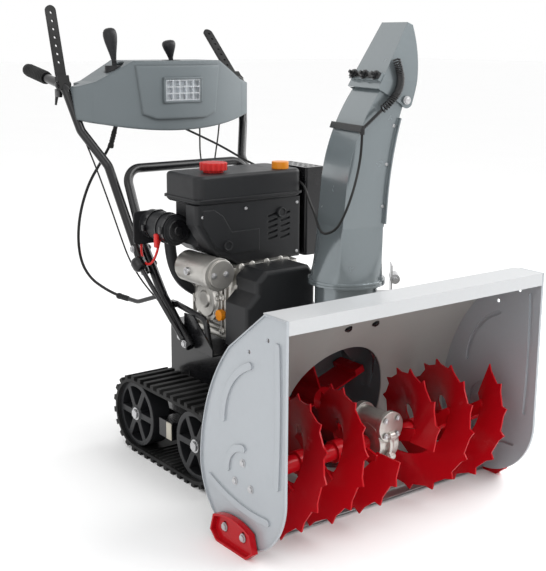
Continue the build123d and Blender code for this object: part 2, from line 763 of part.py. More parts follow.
# Rubber tracks with their lugs
belt_inner = belt_radius - belt_thickness
wheel_base = track_front_x - track_rear_x
loop_straight = wheel_base
loop_arc = 3.14159265 * belt_radius
loop_length = 2 * loop_straight + 2 * loop_arc
for side, node in ((-1, "track_right"), (1, "track_left")):
    with BuildPart() as track:
        with BuildSketch(Plane.XZ.offset(-side * track_inner_y)) as belt_face:
            with Locations(((track_rear_x + track_front_x) / 2, track_z)):
                SlotCenterToCenter(wheel_base, 2 * belt_radius)
                SlotCenterToCenter(wheel_base, 2 * belt_inner, mode=Mode.SUBTRACT)
        extrude(amount=-side * track_width)
        with BuildSketch(Plane.XZ.offset(-side * track_inner_y)) as lug_faces:
            for lug in range(lug_count):
                run = lug * loop_length / lug_count
                if run < loop_straight:
                    spot = (track_rear_x + run, track_z + belt_radius, 90)
                elif run < loop_straight + loop_arc:
                    bend = 90 - (run - loop_straight) / belt_radius * 180 / 3.14159265
                    spot = (
                        track_front_x + belt_radius * cos(radians(bend)),
                        track_z + belt_radius * sin(radians(bend)),
                        bend,
                    )
                elif run < 2 * loop_straight + loop_arc:
                    spot = (track_front_x - (run - loop_straight - loop_arc), track_z - belt_radius, -90)
                else:
                    bend = -90 - (run - 2 * loop_straight - loop_arc) / belt_radius * 180 / 3.14159265
                    spot = (
                        track_rear_x + belt_radius * cos(radians(bend)),
                        track_z + belt_radius * sin(radians(bend)),
                        bend,
                    )
                with Locations(Location((spot[0], spot[1], 0), (0, 0, spot[2]))):
                    with Locations((lug_height / 2 - 1, 0)):
                        Rectangle(lug_height + 2, lug_length)
        extrude(amount=-side * track_width)
    track.part.label = node
    export_step(track.part, "parts/" + node + ".step")

# Spoked track wheels
wheel_outer_y = track_outer_y - wheel_inset
for side, node in ((-1, "track_wheels_right"), (1, "track_wheels_left")):
    with BuildPart() as track_wheels:
        for hub_x in (track_rear_x, track_front_x):
            with BuildSketch(Plane.XZ.offset(-side * (wheel_outer_y - wheel_width))) as wheel_face:
                with Locations((hub_x, track_z)):
                    Circle(wheel_radius)
                    Circle(wheel_radius - wheel_rim, mode=Mode.SUBTRACT)
                    for spoke in range(wheel_spokes):
                        with Locations(Location((0, 0, 0), (0, 0, spoke * 360 / wheel_spokes))):
                            with Locations(((wheel_radius - wheel_rim + hub_radius) / 2, 0)):
                                Rectangle(wheel_radius - wheel_rim - hub_radius + 8, 16)
                    Circle(hub_radius)
                    Circle(axle_radius + wheel_gap, mode=Mode.SUBTRACT)
            extrude(amount=-side * wheel_width)
    track_wheels.part.label = node
    export_step(track_wheels.part, "parts/" + node + ".step")

# Track frames, the beams that hold the axles inside each loop
for side, node in ((-1, "track_frame_right"), (1, "track_frame_left")):
    with BuildPart() as track_frame:
        with BuildSketch(Plane.XZ.offset(-side * (track_inner_y + 8))) as beam_face:
            with Locations(((track_rear_x + track_front_x) / 2, track_z)):
                SlotCenterToCenter(wheel_base, 48)
            with Locations((track_rear_x, track_z), (track_front_x, track_z)):
                Circle(axle_radius + wheel_gap, mode=Mode.SUBTRACT)
        extrude(amount=-side * 50)
        with Locations(((track_rear_x + track_front_x) / 2, side * (track_inner_y + 8), track_z)):
            Box(60, 106, 46, align=(Align.CENTER, Align.MIN if side > 0 else Align.MAX, Align.CENTER))
    track_frame.part.label = node
    export_step(track_frame.part, "parts/" + node + ".step")

# Axles across the machine
with BuildPart() as axles:
    for hub_x in (track_rear_x, track_front_x):
        with BuildSketch(Plane.XZ) as axle_face:
            with Locations((hub_x, track_z)):
                Circle(axle_radius)
        extrude(amount=wheel_outer_y + 4, both=True)
axles.part.label = "axles"
export_step(axles.part, "parts/axles.step")

# Engine crankcase on its foot, with the flange that the belt cover meets
engine_mid_x = (engine_front_x + engine_rear_x) / 2
engine_mid_y = (engine_left_y + engine_right_y) / 2
engine_length = engine_front_x - engine_rear_x
engine_width = engine_left_y - engine_right_y
with BuildPart() as engine_block:
    with Locations((engine_mid_x, engine_mid_y, tub_top_z)):
        Box(engine_length, engine_width, engine_foot_height, align=(Align.CENTER, Align.CENTER, Align.MIN))
    with Locations((engine_mid_x, engine_mid_y, tub_top_z + engine_foot_height)):
        Box(
            engine_length - 24,
            engine_width,
            crankcase_top_z - tub_top_z - engine_foot_height,
            align=(Align.CENTER, Align.CENTER, Align.MIN),
        )
    fillet(engine_block.edges().filter_by(Axis.Z).filter_by(lambda e: e.length > 100), radius=16)
    with BuildSketch(Plane.YZ.offset(engine_front_x - 14)) as flange_face:
        with BuildLine():
            Polyline(
                (-100, crankcase_top_z + 8),
                (52, crankcase_top_z + 14),
                (64, crankcase_top_z - 8),
                (64, 366),
                (-118, 366),
                (-128, 414),
                close=True,
            )
        make_face()
    extrude(amount=20)
    for rib_y in (-84.0, -28.0, 28.0):
        with Locations((engine_front_x - 12, rib_y, tub_top_z + engine_foot_height)):
            Box(12, 8, 40, align=(Align.MIN, Align.CENTER, Align.MIN))
engine_block.part.label = "engine_block"
export_step(engine_block.part, "parts/engine_block.step")

# Black shroud over the cylinder, lower on the left, with louvres in its face
with BuildPart() as engine_shroud:
    # Narrow part behind and the full face ahead of it: start, length, upper right edge, lower right edge
    for block_x, block_length, upper_y, lower_y in (
        (shroud_rear_x, shroud_step_x - shroud_rear_x, shroud_narrow_y, shroud_narrow_y),
        (shroud_step_x, shroud_front_x - shroud_step_x, shroud_right_y, -160.0),
    ):
        with BuildSketch(Plane.YZ.offset(block_x)) as shroud_face:
            with BuildLine():
                Polyline(
                    (upper_y, tank_bottom_z),
                    (upper_y, 628),
                    (lower_y, 566),
                    (-138, 545),
                    (-92, 527),
                    (-76, crankcase_top_z),
                    (shroud_left_y, crankcase_top_z),
                    (shroud_left_y, tank_bottom_z),
                    close=True,
                )
            make_face()
        extrude(amount=block_length)
    fillet(engine_shroud.faces().sort_by(Axis.X)[-1].edges().filter_by(lambda e: e.center().Z < tank_bottom_z - 1), radius=10)
    with BuildSketch(Plane.YZ.offset(shroud_front_x)) as raised_panel:
        with BuildLine():
            Polyline(
                (-182, 664),
                (-182, 628),
                (-146, 568),
                (-98, 548),
                (-10, 548),
                (-10, 604),
                (-96, 604),
                (-122, 646),
                (-150, 664),
                close=True,
            )
        make_face()
    extrude(amount=3)
    with BuildSketch(Plane.YZ.offset(shroud_front_x)) as louvres:
        with GridLocations(40, 15, 2, 5):
            with Locations((54, 606)):
                SlotOverall(32, 6, rotation=12)
    extrude(amount=-6, mode=Mode.SUBTRACT)
engine_shroud.part.label = "engine_shroud"
export_step(engine_shroud.part, "parts/engine_shroud.step")

# Fuel tank across the top
with BuildPart() as fuel_tank:
    with Locations(((shroud_front_x + shroud_rear_x) / 2, (shroud_left_y + shroud_right_y) / 2, tank_bottom_z)):
        Box(
            shroud_front_x - shroud_rear_x + 2 * tank_overhang,
            shroud_left_y - shroud_right_y,
            tank_top_z - tank_bottom_z,
            align=(Align.CENTER, Align.CENTER, Align.MIN),
        )
    fillet(fuel_tank.edges().filter_by(Axis.Z), radius=24)
    fillet(fuel_tank.faces().sort_by(Axis.Z)[-1].edges(), radius=10)
    chamfer(fuel_tank.faces().sort_by(Axis.Z)[0].edges(), length=5)
fuel_tank.part.label = "fuel_tank"
export_step(fuel_tank.part, "parts/fuel_tank.step")

# Ribbed fuel cap on its neck
with BuildPart() as fuel_cap:
    with Locations((fuel_cap_place[0], fuel_cap_place[1], tank_top_z)):
        Cylinder(26, 6, align=(Align.CENTER, Align.CENTER, Align.MIN))
    with Locations((fuel_cap_place[0], fuel_cap_place[1], tank_top_z + 6)):
        Cylinder(35, 19, align=(Align.CENTER, Align.CENTER, Align.MIN))
        with PolarLocations(35, 16):
            Cylinder(3, 19, align=(Align.CENTER, Align.CENTER, Align.MIN), mode=Mode.SUBTRACT)
    fillet(fuel_cap.faces().sort_by(Axis.Z)[-1].edges(), radius=1.5)
fuel_cap.part.label = "fuel_cap"
export_step(fuel_cap.part, "parts/fuel_cap.step")

# Yellow caps of the tank's breather and the oil filler
with BuildPart() as oil_caps:
    with Locations((tank_cap_place[0], tank_cap_place[1], tank_top_z)):
        Cylinder(22, 18, align=(Align.CENTER, Align.CENTER, Align.MIN))
    with BuildSketch(Plane.XZ.offset(-engine_right_y)) as oil_neck:
        with Locations((74, 396)):
            Circle(11)
    extrude(amount=14)
    with BuildSketch(Plane.XZ.offset(-engine_right_y + 14)) as oil_cap:
        with Locations((74, 396)):
            RegularPolygon(15, 8)
    extrude(amount=12)
oil_caps.part.label = "oil_caps"
export_step(oil_caps.part, "parts/oil_caps.step")

# Starter motor along the right of the crankcase
starter_y = engine_right_y - starter_radius
with BuildPart() as starter_motor:
    # Steps along X: start, length and radius
    for step_x, step_length, step_radius in ((-44, 132, 40), (88, 14, 42), (102, 5, 36), (-56, 12, 26)):
        with BuildSketch(Plane.YZ.offset(step_x)) as starter_face:
            with Locations((starter_y - step_radius + starter_radius, starter_z)):
                Circle(step_radius)
        extrude(amount=step_length)
starter_motor.part.label = "starter_motor"
export_step(starter_motor.part, "parts/starter_motor.step")

# Recoil starter on the rear of the engine
with BuildPart() as recoil_starter:
    with BuildSketch(Plane.YZ.offset(engine_rear_x + 12)) as recoil_face:
        with Locations((-5, recoil_z)):
            Circle(recoil_radius)
    extrude(amount=-40)
    with BuildSketch(Plane.YZ.offset(engine_rear_x - 28)) as recoil_dome:
        with Locations((-5, recoil_z)):
            Circle(recoil_radius - 12)
    extrude(amount=-14)
    with BuildSketch(Plane.YZ.offset(engine_rear_x - 42)) as recoil_slots:
        with Locations((-5, recoil_z)):
            with PolarLocations(48, 8):
                SlotOverall(30, 9)
    extrude(amount=8, mode=Mode.SUBTRACT)
recoil_starter.part.label = "recoil_starter"
export_step(recoil_starter.part, "parts/recoil_starter.step")

# Muffler and its perforated guard on the left
guard_y = shroud_left_y + guard_gap
guard_length = shroud_front_x - shroud_rear_x
guard_mid_x = (shroud_front_x + shroud_rear_x) / 2
with BuildPart() as muffler:
    with Locations((guard_mid_x, guard_y + 10, 566)):
        Box(guard_length - 30, guard_depth - 20, 150, align=(Align.CENTER, Align.MIN, Align.MIN))
    fillet(muffler.edges().filter_by(Axis.Z), radius=16)
    with Locations((guard_mid_x, shroud_left_y, 600)):
        Box(50, guard_gap + 14, 40, align=(Align.CENTER, Align.MIN, Align.CENTER))
muffler.part.label = "muffler"
export_step(muffler.part, "parts/muffler.step")
with BuildPart() as muffler_guard:
    with Locations((guard_mid_x, guard_y, crankcase_top_z)):
        Box(guard_length, guard_depth, tank_top_z - crankcase_top_z, align=(Align.CENTER, Align.MIN, Align.MIN))
    fillet(muffler_guard.edges().filter_by(Axis.Z), radius=8)
    with Locations((guard_mid_x, guard_y + guard_sheet, crankcase_top_z)):
        Box(
            guard_length - 2 * guard_sheet,
            guard_depth - 2 * guard_sheet,
            tank_top_z - crankcase_top_z - guard_sheet,
            align=(Align.CENTER, Align.MIN, Align.MIN),
            mode=Mode.SUBTRACT,
        )
    with Locations((guard_mid_x, guard_y, 600)):
        Box(54, 4 * guard_sheet, 44, mode=Mode.SUBTRACT)
    with BuildSketch(Plane.XY.offset(tank_top_z)) as guard_holes:
        with Locations((guard_mid_x, guard_y + guard_depth / 2)):
            with GridLocations(22, 18, 6, 3):
                Circle(6)
    extrude(amount=-4 * guard_sheet, mode=Mode.SUBTRACT)
    with BuildSketch(Plane.XZ.offset(-(guard_y + guard_depth))) as guard_slots:
        with Locations((guard_mid_x, 640)):
            with GridLocations(0, 28, 1, 6):
                SlotOverall(90, 10)
    extrude(amount=4 * guard_sheet, mode=Mode.SUBTRACT)
    with Locations((guard_mid_x, shroud_left_y, crankcase_top_z)):
        Box(40, guard_gap, 24, align=(Align.CENTER, Align.MIN, Align.MIN))
muffler_guard.part.label = "muffler_guard"
export_step(muffler_guard.part, "parts/muffler_guard.step")

# Control box behind the engine: a plate facing the operator and a round body ahead of it
with BuildPart() as engine_controls:
    with BuildSketch(Plane.YZ.offset(control_rear_x)) as control_body:
        with Locations(control_place):
            Circle(control_radius)
    extrude(amount=control_front_x - control_rear_x)
    with BuildSketch(Plane.YZ.offset(control_front_x)) as control_lid:
        with Locations(control_place):
            Circle(control_radius - 6)
    extrude(amount=6)
    with BuildSketch(Plane.YZ.offset(control_rear_x)) as control_plate:
        with Locations((control_place[0] - 8, control_place[1] - 8)):
            RectangleRounded(92, 86, 10)
    extrude(amount=-6)
    # Arm that carries the box from the shroud
    with Locations((shroud_rear_x, control_place[0], control_place[1])):
        Box(30, shroud_narrow_y - control_place[0], 40, align=(Align.MIN, Align.MIN, Align.CENTER))
engine_controls.part.label = "engine_controls"
export_step(engine_controls.part, "parts/engine_controls.step")

# Stop key in the control plate
with BuildPart() as stop_key:
    with BuildSketch(Plane.YZ.offset(control_rear_x - 6)) as key_face:
        with Locations((control_place[0] - 26, control_place[1] - 26)):
            RectangleRounded(22, 30, 6)
    extrude(amount=-14)
stop_key.part.label = "stop_key"
export_step(stop_key.part, "parts/stop_key.step")

# Moulded belt cover between the engine and the drum, open behind and below
belt_rear_x = engine_front_x + 6
belt_front_x = chute_x - neck_flange_radius - 6
with BuildPart() as belt_cover:
    with BuildSketch(Plane.YZ.offset(belt_rear_x)) as cover_face:
        with BuildLine():
            Polyline(
                (66, tub_top_z),
                (66, belt_cover_top_z - 24),
                (46, belt_cover_top_z),
                (-88, belt_cover_top_z),
                (-114, belt_cover_top_z - 24),
                (-114, 470),
                (-146, 440),
                (-146, tub_top_z),
                close=True,
            )
        make_face()
    extrude(amount=belt_front_x - belt_rear_x)
    fillet(belt_cover.faces().sort_by(Axis.X)[-1].edges().filter_by(lambda e: e.center().Z > tub_top_z + 1), radius=12)
    with BuildSketch(Plane.YZ.offset(belt_rear_x)) as cover_room:
        with BuildLine():
            Polyline(
                (66 - sheet, tub_top_z),
                (66 - sheet, belt_cover_top_z - 24 - sheet),
                (46 - sheet, belt_cover_top_z - sheet),
                (-88 + sheet, belt_cover_top_z - sheet),
                (-114 + sheet, belt_cover_top_z - 24 - sheet),
                (-114 + sheet, 470 - sheet),
                (-146 + sheet, 440 - sheet),
                (-146 + sheet, tub_top_z),
                close=True,
            )
        make_face()
    extrude(amount=belt_front_x - belt_rear_x - 12, mode=Mode.SUBTRACT)
    with Locations((belt_front_x - 12, -40, tub_top_z)):
        Box(drum_rear_x - belt_front_x + 12, 180, 60, align=(Align.MIN, Align.CENTER, Align.MIN))
belt_cover.part.label = "belt_cover"
export_step(belt_cover.part, "parts/belt_cover.step")

# Lower handle, an inverted U of tube
lower_leg = ((24, 310), (-104, 417), (-202, 540), (crossbar_x, crossbar_z))
lower_right = [(x, -lower_handle_y, z) for x, z in lower_leg]
lower_left = [(x, lower_handle_y, z) for x, z in reversed(lower_leg)]
with BuildPart() as lower_handle:
    with BuildLine() as lower_path:
        FilletPolyline(*lower_right, *lower_left, radius=45)
    with BuildSketch(lower_path.line ^ 0):
        Circle(tube_radius)
        Circle(tube_radius - tube_wall, mode=Mode.SUBTRACT)
    sweep()
lower_handle.part.label = "lower_handle"
export_step(lower_handle.part, "parts/lower_handle.step")

# Braces from the lower handle forward and down to its brackets
brace_y = lower_handle_y - tube_radius - tub_sheet - brace_radius
with BuildPart() as handle_braces:
    for side in (-1, 1):
        with BuildLine() as brace_path:
            FilletPolyline(
                (-84, side * brace_y, 400),
                (58, side * brace_y, 386),
                (80, side * brace_y, bracket_z - 8),
                radius=24,
            )
        with BuildSketch(brace_path.line ^ 0):
            Circle(brace_radius)
        sweep()
        with Locations((80, side * brace_y, bracket_z)):
            Box(60, 40, 40, align=(Align.CENTER, Align.CENTER, Align.MAX), mode=Mode.SUBTRACT)
        with Locations((-84, side * brace_y, 400)):
            Box(
                24,
                lower_handle_y - tube_radius - brace_y,
                16,
                align=(Align.CENTER, Align.MIN if side > 0 else Align.MAX, Align.CENTER),
            )
handle_braces.part.label = "handle_braces"
export_step(handle_braces.part, "parts/handle_braces.step")

# Upper handle tubes, bolted outside the lower handle and bent out to the grips
upper_points = (
    (-150, upper_handle_y, 475),
    (-202, upper_handle_y, 540),
    (-340, upper_handle_y, 738),
    (-400, grip_y - 25, 831),
    (grip_front_x, grip_y, grip_front_z),
    (grip_end_x + 4, grip_y, grip_end_z),
)
for side, node in ((-1, "upper_handle_right"), (1, "upper_handle_left")):
    with BuildPart() as upper_handle:
        with BuildLine() as upper_path:
            FilletPolyline(*[(x, side * y, z) for x, y, z in upper_points], radius=40)
        with BuildSketch(upper_path.line ^ 0):
            Circle(tube_radius)
            Circle(tube_radius - tube_wall, mode=Mode.SUBTRACT)
        sweep()
    upper_handle.part.label = node
    export_step(upper_handle.part, "parts/" + node + ".step")

# Dashboard between the handles, hollow and open below, with a raised middle
with BuildPart() as dashboard:
    for inset, narrow, mode in ((0.0, 0.0, Mode.ADD), (panel_wall, panel_end_block, Mode.SUBTRACT)):
        with BuildPart(mode=mode) as panel_block:
            with BuildSketch(Plane.XY.offset(700)) as panel_plan:
                with BuildLine():
                    ThreePointArc(
                        (panel_end_x - inset, -panel_half_width),
                        (panel_nose_x - inset, 0),
                        (panel_end_x - inset, panel_half_width),
                    )
                    Polyline(
                        (panel_end_x - inset, panel_half_width),
                        (panel_rear_x + inset, panel_half_width),
                        (panel_rear_x + inset, -panel_half_width),
                        (panel_end_x - inset, -panel_half_width),
                    )
                make_face()
                fillet(panel_plan.vertices(), radius=18 - inset)
                Rectangle(2000, 2 * (panel_half_width - narrow), mode=Mode.INTERSECT)
            extrude(amount=400)
            with BuildSketch(Plane.YZ) as panel_front:
                with BuildLine():
                    ThreePointArc(
                        (-panel_half_width, panel_end_low_z - 20 * inset),
                        (0, panel_low_z - 20 * inset),
                        (panel_half_width, panel_end_low_z - 20 * inset),
                    )
                    Polyline(
                        (panel_half_width, panel_end_low_z - 20 * inset),
                        (panel_half_width, panel_wing_z - inset),
                        (panel_shoulder, panel_wing_z + 14 - inset),
                        (panel_hump_half + 20, panel_hump_z - 12 - inset),
                        (panel_hump_half - inset, panel_hump_z - inset),
                        (-panel_hump_half + inset, panel_hump_z - inset),
                        (-panel_hump_half - 20, panel_hump_z - 12 - inset),
                        (-panel_shoulder, panel_wing_z + 14 - inset),
                        (-panel_half_width, panel_wing_z - inset),
                        (-panel_half_width, panel_end_low_z - 20 * inset),
                    )
                make_face()
            extrude(amount=700, both=True, mode=Mode.INTERSECT)
    with BuildPart(mode=Mode.ADD) as panel_hump:
        with BuildSketch(Plane.XY.offset(700)) as hump_plan:
            with BuildLine():
                ThreePointArc(
                    (panel_nose_x - 14, -panel_hump_half),
                    (panel_nose_x + 9, 0),
                    (panel_nose_x - 14, panel_hump_half),
                )
                ThreePointArc(
                    (panel_nose_x - 22, panel_hump_half),
                    (panel_nose_x - 1, 0),
                    (panel_nose_x - 22, -panel_hump_half),
                )
                Line((panel_nose_x - 14, panel_hump_half), (panel_nose_x - 22, panel_hump_half))
                Line((panel_nose_x - 14, -panel_hump_half), (panel_nose_x - 22, -panel_hump_half))
            make_face()
        extrude(amount=400)
        with BuildSketch(Plane.YZ) as hump_front:
            with BuildLine():
                Polyline(
                    (-panel_hump_half + 4, panel_hump_z - 12),
                    (panel_hump_half - 4, panel_hump_z - 12),
                    (panel_hump_half - 22, 874),
                    (panel_hump_half - 60, 860),
                    (-panel_hump_half + 60, 860),
                    (-panel_hump_half + 22, 874),
                    close=True,
                )
            make_face()
        extrude(amount=700, both=True, mode=Mode.INTERSECT)
    with Locations((panel_nose_x + 12, 0, lamp_z)):
        Box(30, lamp_width, lamp_height, align=(Align.MAX, Align.CENTER, Align.CENTER), mode=Mode.SUBTRACT)
    for stick_y in (-170.0, 10.0):
        with Locations((stick_x, stick_y, panel_hump_z)):
            Cylinder(stick_boot_radius, 160, mode=Mode.SUBTRACT)
    # Channels at both ends for the handle tubes, open to the rear
    (low_x, low_y, low_z), (high_x, high_y, high_z) = upper_points[3:5]
    for side in (-1, 1):
        with BuildSketch(Plane.XZ.offset(-side * (panel_half_width - 28))) as channel_face:
            with BuildLine():
                Polyline(
                    (low_x, low_z),
                    (high_x + 14, high_z - 20),
                    (high_x + 14, high_z + 60),
                    (panel_rear_x - 20, high_z + 60),
                    (panel_rear_x - 20, low_z),
                    close=True,
                )
            make_face()
        extrude(amount=-side * 60, mode=Mode.SUBTRACT)
        tube_at = Plane(
            origin=(low_x, side * low_y, low_z),
            z_dir=(high_x - low_x, side * (high_y - low_y), high_z - low_z),
        )
        with BuildSketch(tube_at) as tube_room:
            Circle(tube_radius)
        extrude(amount=160, mode=Mode.SUBTRACT)
dashboard.part.label = "dashboard"
export_step(dashboard.part, "parts/dashboard.step")

# Headlamp let into the dashboard, with its reflector cells
with BuildPart() as headlamp:
    with Locations((panel_nose_x + 10, 0, lamp_z)):
        Box(28, lamp_width, lamp_height, align=(Align.MAX, Align.CENTER, Align.CENTER))
    with BuildSketch(Plane.YZ.offset(panel_nose_x + 10)) as lamp_cells:
        with Locations((0, lamp_z)):
            with GridLocations(lamp_width / 5.4, lamp_height / 3.5, 5, 3):
                RectangleRounded(lamp_width / 5.4 - 4, lamp_height / 3.5 - 4, 2)
    extrude(amount=-10, mode=Mode.SUBTRACT)
headlamp.part.label = "headlamp"
export_step(headlamp.part, "parts/headlamp.step")

# Ways of the two cables: a free loop from the right joystick to its link, and the deflector's cable
shift_route = (
    (-388, -172, 832),
    (-394, -180, 796),
    (-414, -202, 744),
    (-444, -228, 682),
    (-474, -242, 600),
    (-488, -246, 520),
    (-472, -246, 452),
    (-420, -244, 414),
    (-348, -239, 398),
    (-282, -233, 390),
    (-228, -228, 390),
)
chute_route = (
    chute_plane.from_local_coords((-12, 864, spring_s)),
    chute_plane.from_local_coords((-12, 824, spring_s)),
    chute_plane.from_local_coords((-24, 762, spring_s + 1)),
    chute_plane.from_local_coords((-42, 707, spring_s + 2)),
    chute_plane.from_local_coords((-62, 666, spring_s + 3)),
    (366, -10, 644),
    (344, -19, 632),
    (318, -12, 630),
    (286, 4, 638),
    (238, 32, 660),
    (166, 70, 684),
    (104, 108, 704),
    (46, 135, 714),
    (-40, 134.5, 720),
    (-112, 131, 730),
    (-184, 118, 750),
    (-254, 92, 782),
    (-322, 54, 812),
    (-372, 20, 836),
)

# Joysticks, tapered knobs on rods that reach down inside the dashboard
sticks = ((-170.0, 1016.0, 1109.0), (10.0, 1022.0, 1076.0))  # side place, knob's foot and top
with BuildPart() as joysticks:
    for stick_y, knob_low_z, knob_top_z in sticks:
        knob = knob_top_z - knob_low_z
        with Locations((stick_x, stick_y, stick_low_z)):
            Cylinder(7, knob_low_z - stick_low_z, align=(Align.CENTER, Align.CENTER, Align.MIN))
            Cylinder(11, 14, align=(Align.CENTER, Align.CENTER, Align.MIN))
        knob_at = Plane((stick_x, stick_y, knob_low_z - 2)).rotated((9, 0, 0))
        with Locations(knob_at):
            Cone(8, 19, 0.78 * knob, align=(Align.CENTER, Align.CENTER, Align.MIN))
        with Locations(knob_at.offset(0.78 * knob)):
            Cone(19, 9, 0.22 * knob, align=(Align.CENTER, Align.CENTER, Align.MIN))
    fillet(joysticks.edges().filter_by(GeomType.CIRCLE).filter_by(lambda e: e.radius > 18), radius=6)
    # Ferrules that take the cables' ends
    for route in (shift_route[:2], chute_route[:-3:-1]):
        ferrule_at = Plane(origin=route[0], z_dir=Vector(*route[0]) - Vector(*route[1]))
        with BuildSketch(ferrule_at) as ferrule:
            Circle(6)
        extrude(amount=24)
joysticks.part.label = "joysticks"
export_step(joysticks.part, "parts/joysticks.step")

# Boots that hold the joysticks in the dashboard's top
with BuildPart() as stick_gimbals:
    for stick_y, low_z, high_z in ((-170.0, 950.0, 1004.0), (10.0, 980.0, 1018.0)):
        with Locations((stick_x, stick_y, low_z)):
            Cylinder(stick_boot_radius, high_z - low_z, align=(Align.CENTER, Align.CENTER, Align.MIN))
            Cylinder(7 + wheel_gap, high_z - low_z, align=(Align.CENTER, Align.CENTER, Align.MIN), mode=Mode.SUBTRACT)
stick_gimbals.part.label = "stick_gimbals"
export_step(stick_gimbals.part, "parts/stick_gimbals.step")

# Rubber grips on the handle ends
grip_line = Vector(grip_end_x + 4 - grip_front_x, 0, grip_end_z - grip_front_z).normalized()
with BuildPart() as handle_grips:
    for side in (-1, 1):
        grip_at = Plane(origin=(grip_end_x + 4, side * grip_y, grip_end_z), z_dir=grip_line)
        with BuildSketch(grip_at.offset(-grip_length)):
            Circle(grip_radius)
            Circle(tube_radius + wheel_gap, mode=Mode.SUBTRACT)
        extrude(amount=grip_length)
        with BuildSketch(grip_at):
            Circle(grip_radius)
        extrude(amount=4)
handle_grips.part.label = "handle_grips"
export_step(handle_grips.part, "parts/handle_grips.step")

# Clutch levers: clamp on the tube and a perforated bar, the left one leaning further back
lever_table = ((-1, -448.0, 16.0), (1, -470.0, 47.0))  # side, pivot's place along X, lean in degrees
with BuildPart() as clutch_levers:
    for side, lever_x, lean in lever_table:
        slope = (grip_end_z - grip_front_z) / (grip_end_x + 4 - grip_front_x)
        lever_z = grip_front_z + slope * (lever_x - grip_front_x)
        lever_at = Plane((lever_x, side * grip_y, lever_z)).rotated((0, -lean, 0))
        with Locations(lever_at):
            with Locations((0, 0, 6)):
                Box(22, 32, 38, align=(Align.CENTER, Align.CENTER, Align.CENTER))
        with BuildSketch(Plane(lever_at.origin, x_dir=(0, 1, 0), z_dir=lever_at.x_dir).offset(-8)) as lever_bar:
            with Locations((0, 16 + lever_length / 2)):
                SlotOverall(lever_length, lever_width, rotation=90)
            with Locations((0, 30 + lever_length / 2)):
                with GridLocations(0, lever_length / 9, 1, lever_holes):
                    Circle(4, mode=Mode.SUBTRACT)
        extrude(amount=7)
        with BuildLine() as room_path:
            FilletPolyline(*[(x, side * y, z) for x, y, z in upper_points], radius=40)
        with BuildSketch(room_path.line ^ 0):
            Circle(tube_radius)
        sweep(mode=Mode.SUBTRACT)
clutch_levers.part.label = "clutch_levers"
export_step(clutch_levers.part, "parts/clutch_levers.step")

# Track height lever beside the right handle, with its ball
with BuildPart() as height_lever:
    with Locations(Plane((-130, -251, 504), z_dir=(-140, -36.5, 174)).offset(-16)):
        Cylinder(20, 38, align=(Align.CENTER, Align.CENTER, Align.MIN))
    fillet(height_lever.edges().filter_by(GeomType.CIRCLE), radius=14)
    with BuildLine() as lever_path:
        Line((10, -lower_handle_y - tube_radius - 3, 330), (-130, -251, 504))
    with BuildSketch(lever_path.line ^ 0):
        Circle(6)
    sweep()
    with BuildLine() as room_path:
        FilletPolyline(*lower_right, radius=45)
    with BuildSketch(room_path.line ^ 0):
        Circle(tube_radius)
    sweep(mode=Mode.SUBTRACT)
height_lever.part.label = "height_lever"
export_step(height_lever.part, "parts/height_lever.step")

def cord_radii(points):
    """Radius of each bend: 0.45 of the shorter run beside it over the tangent of half the turn."""
    radii = []
    places = [Vector(*p) if isinstance(p, tuple) else Vector(p) for p in points]
    for before, here, after in zip(places, places[1:], places[2:]):
        run_in = here - before
        run_out = after - here
        turn = radians(run_in.get_angle(run_out))
        radii.append(0.45 * min(run_in.length, run_out.length) * cos(turn / 2) / sin(turn / 2))
    return radii


for node, route, radius in (
    ("shift_cable", shift_route, cable_radius),
    ("deflector_cable", chute_route, chute_cable_radius),
):
    bends = cord_radii(route)
    print(node, "bend radii", [round(bend) for bend in bends])
    with BuildPart() as cord:
        with BuildLine() as cord_path:
            FilletPolyline(*route, radius=bends)
        with BuildSketch(cord_path.line ^ 0):
            Circle(radius)
        sweep()
    run = sum(edge.length for edge in cord_path.edges())
    print(node, "length", round(run), "volume over area times length", round(cord.part.volume / (pi * radius**2 * run), 4))
    cord.part.label = node
    export_step(cord.part, "parts/" + node + ".step")

# Link that takes the shift cable's end to a clip on the handle
with BuildPart() as shift_link:
    with BuildLine() as link_path:
        FilletPolyline(
            (-228, -228, 390),
            (-190, -224.48, 390),
            (-112, -lower_handle_y - tube_radius - 5, 418),
            radius=60,
        )
    with BuildSketch(link_path.line ^ 0):
        Circle(6)
    sweep()
    with BuildLine() as room_path:
        FilletPolyline(*lower_right, radius=45)
    with BuildSketch(room_path.line ^ 0):
        Circle(tube_radius)
    sweep(mode=Mode.SUBTRACT)
shift_link.part.label = "shift_link"
export_step(shift_link.part, "parts/shift_link.step")
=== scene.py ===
"""Dresses the tracked snow blower's frame: finishes, fasteners, trim, cables and a studio stage."""
import json
import math

import bmesh
import bpy
from mathutils import Matrix, Vector


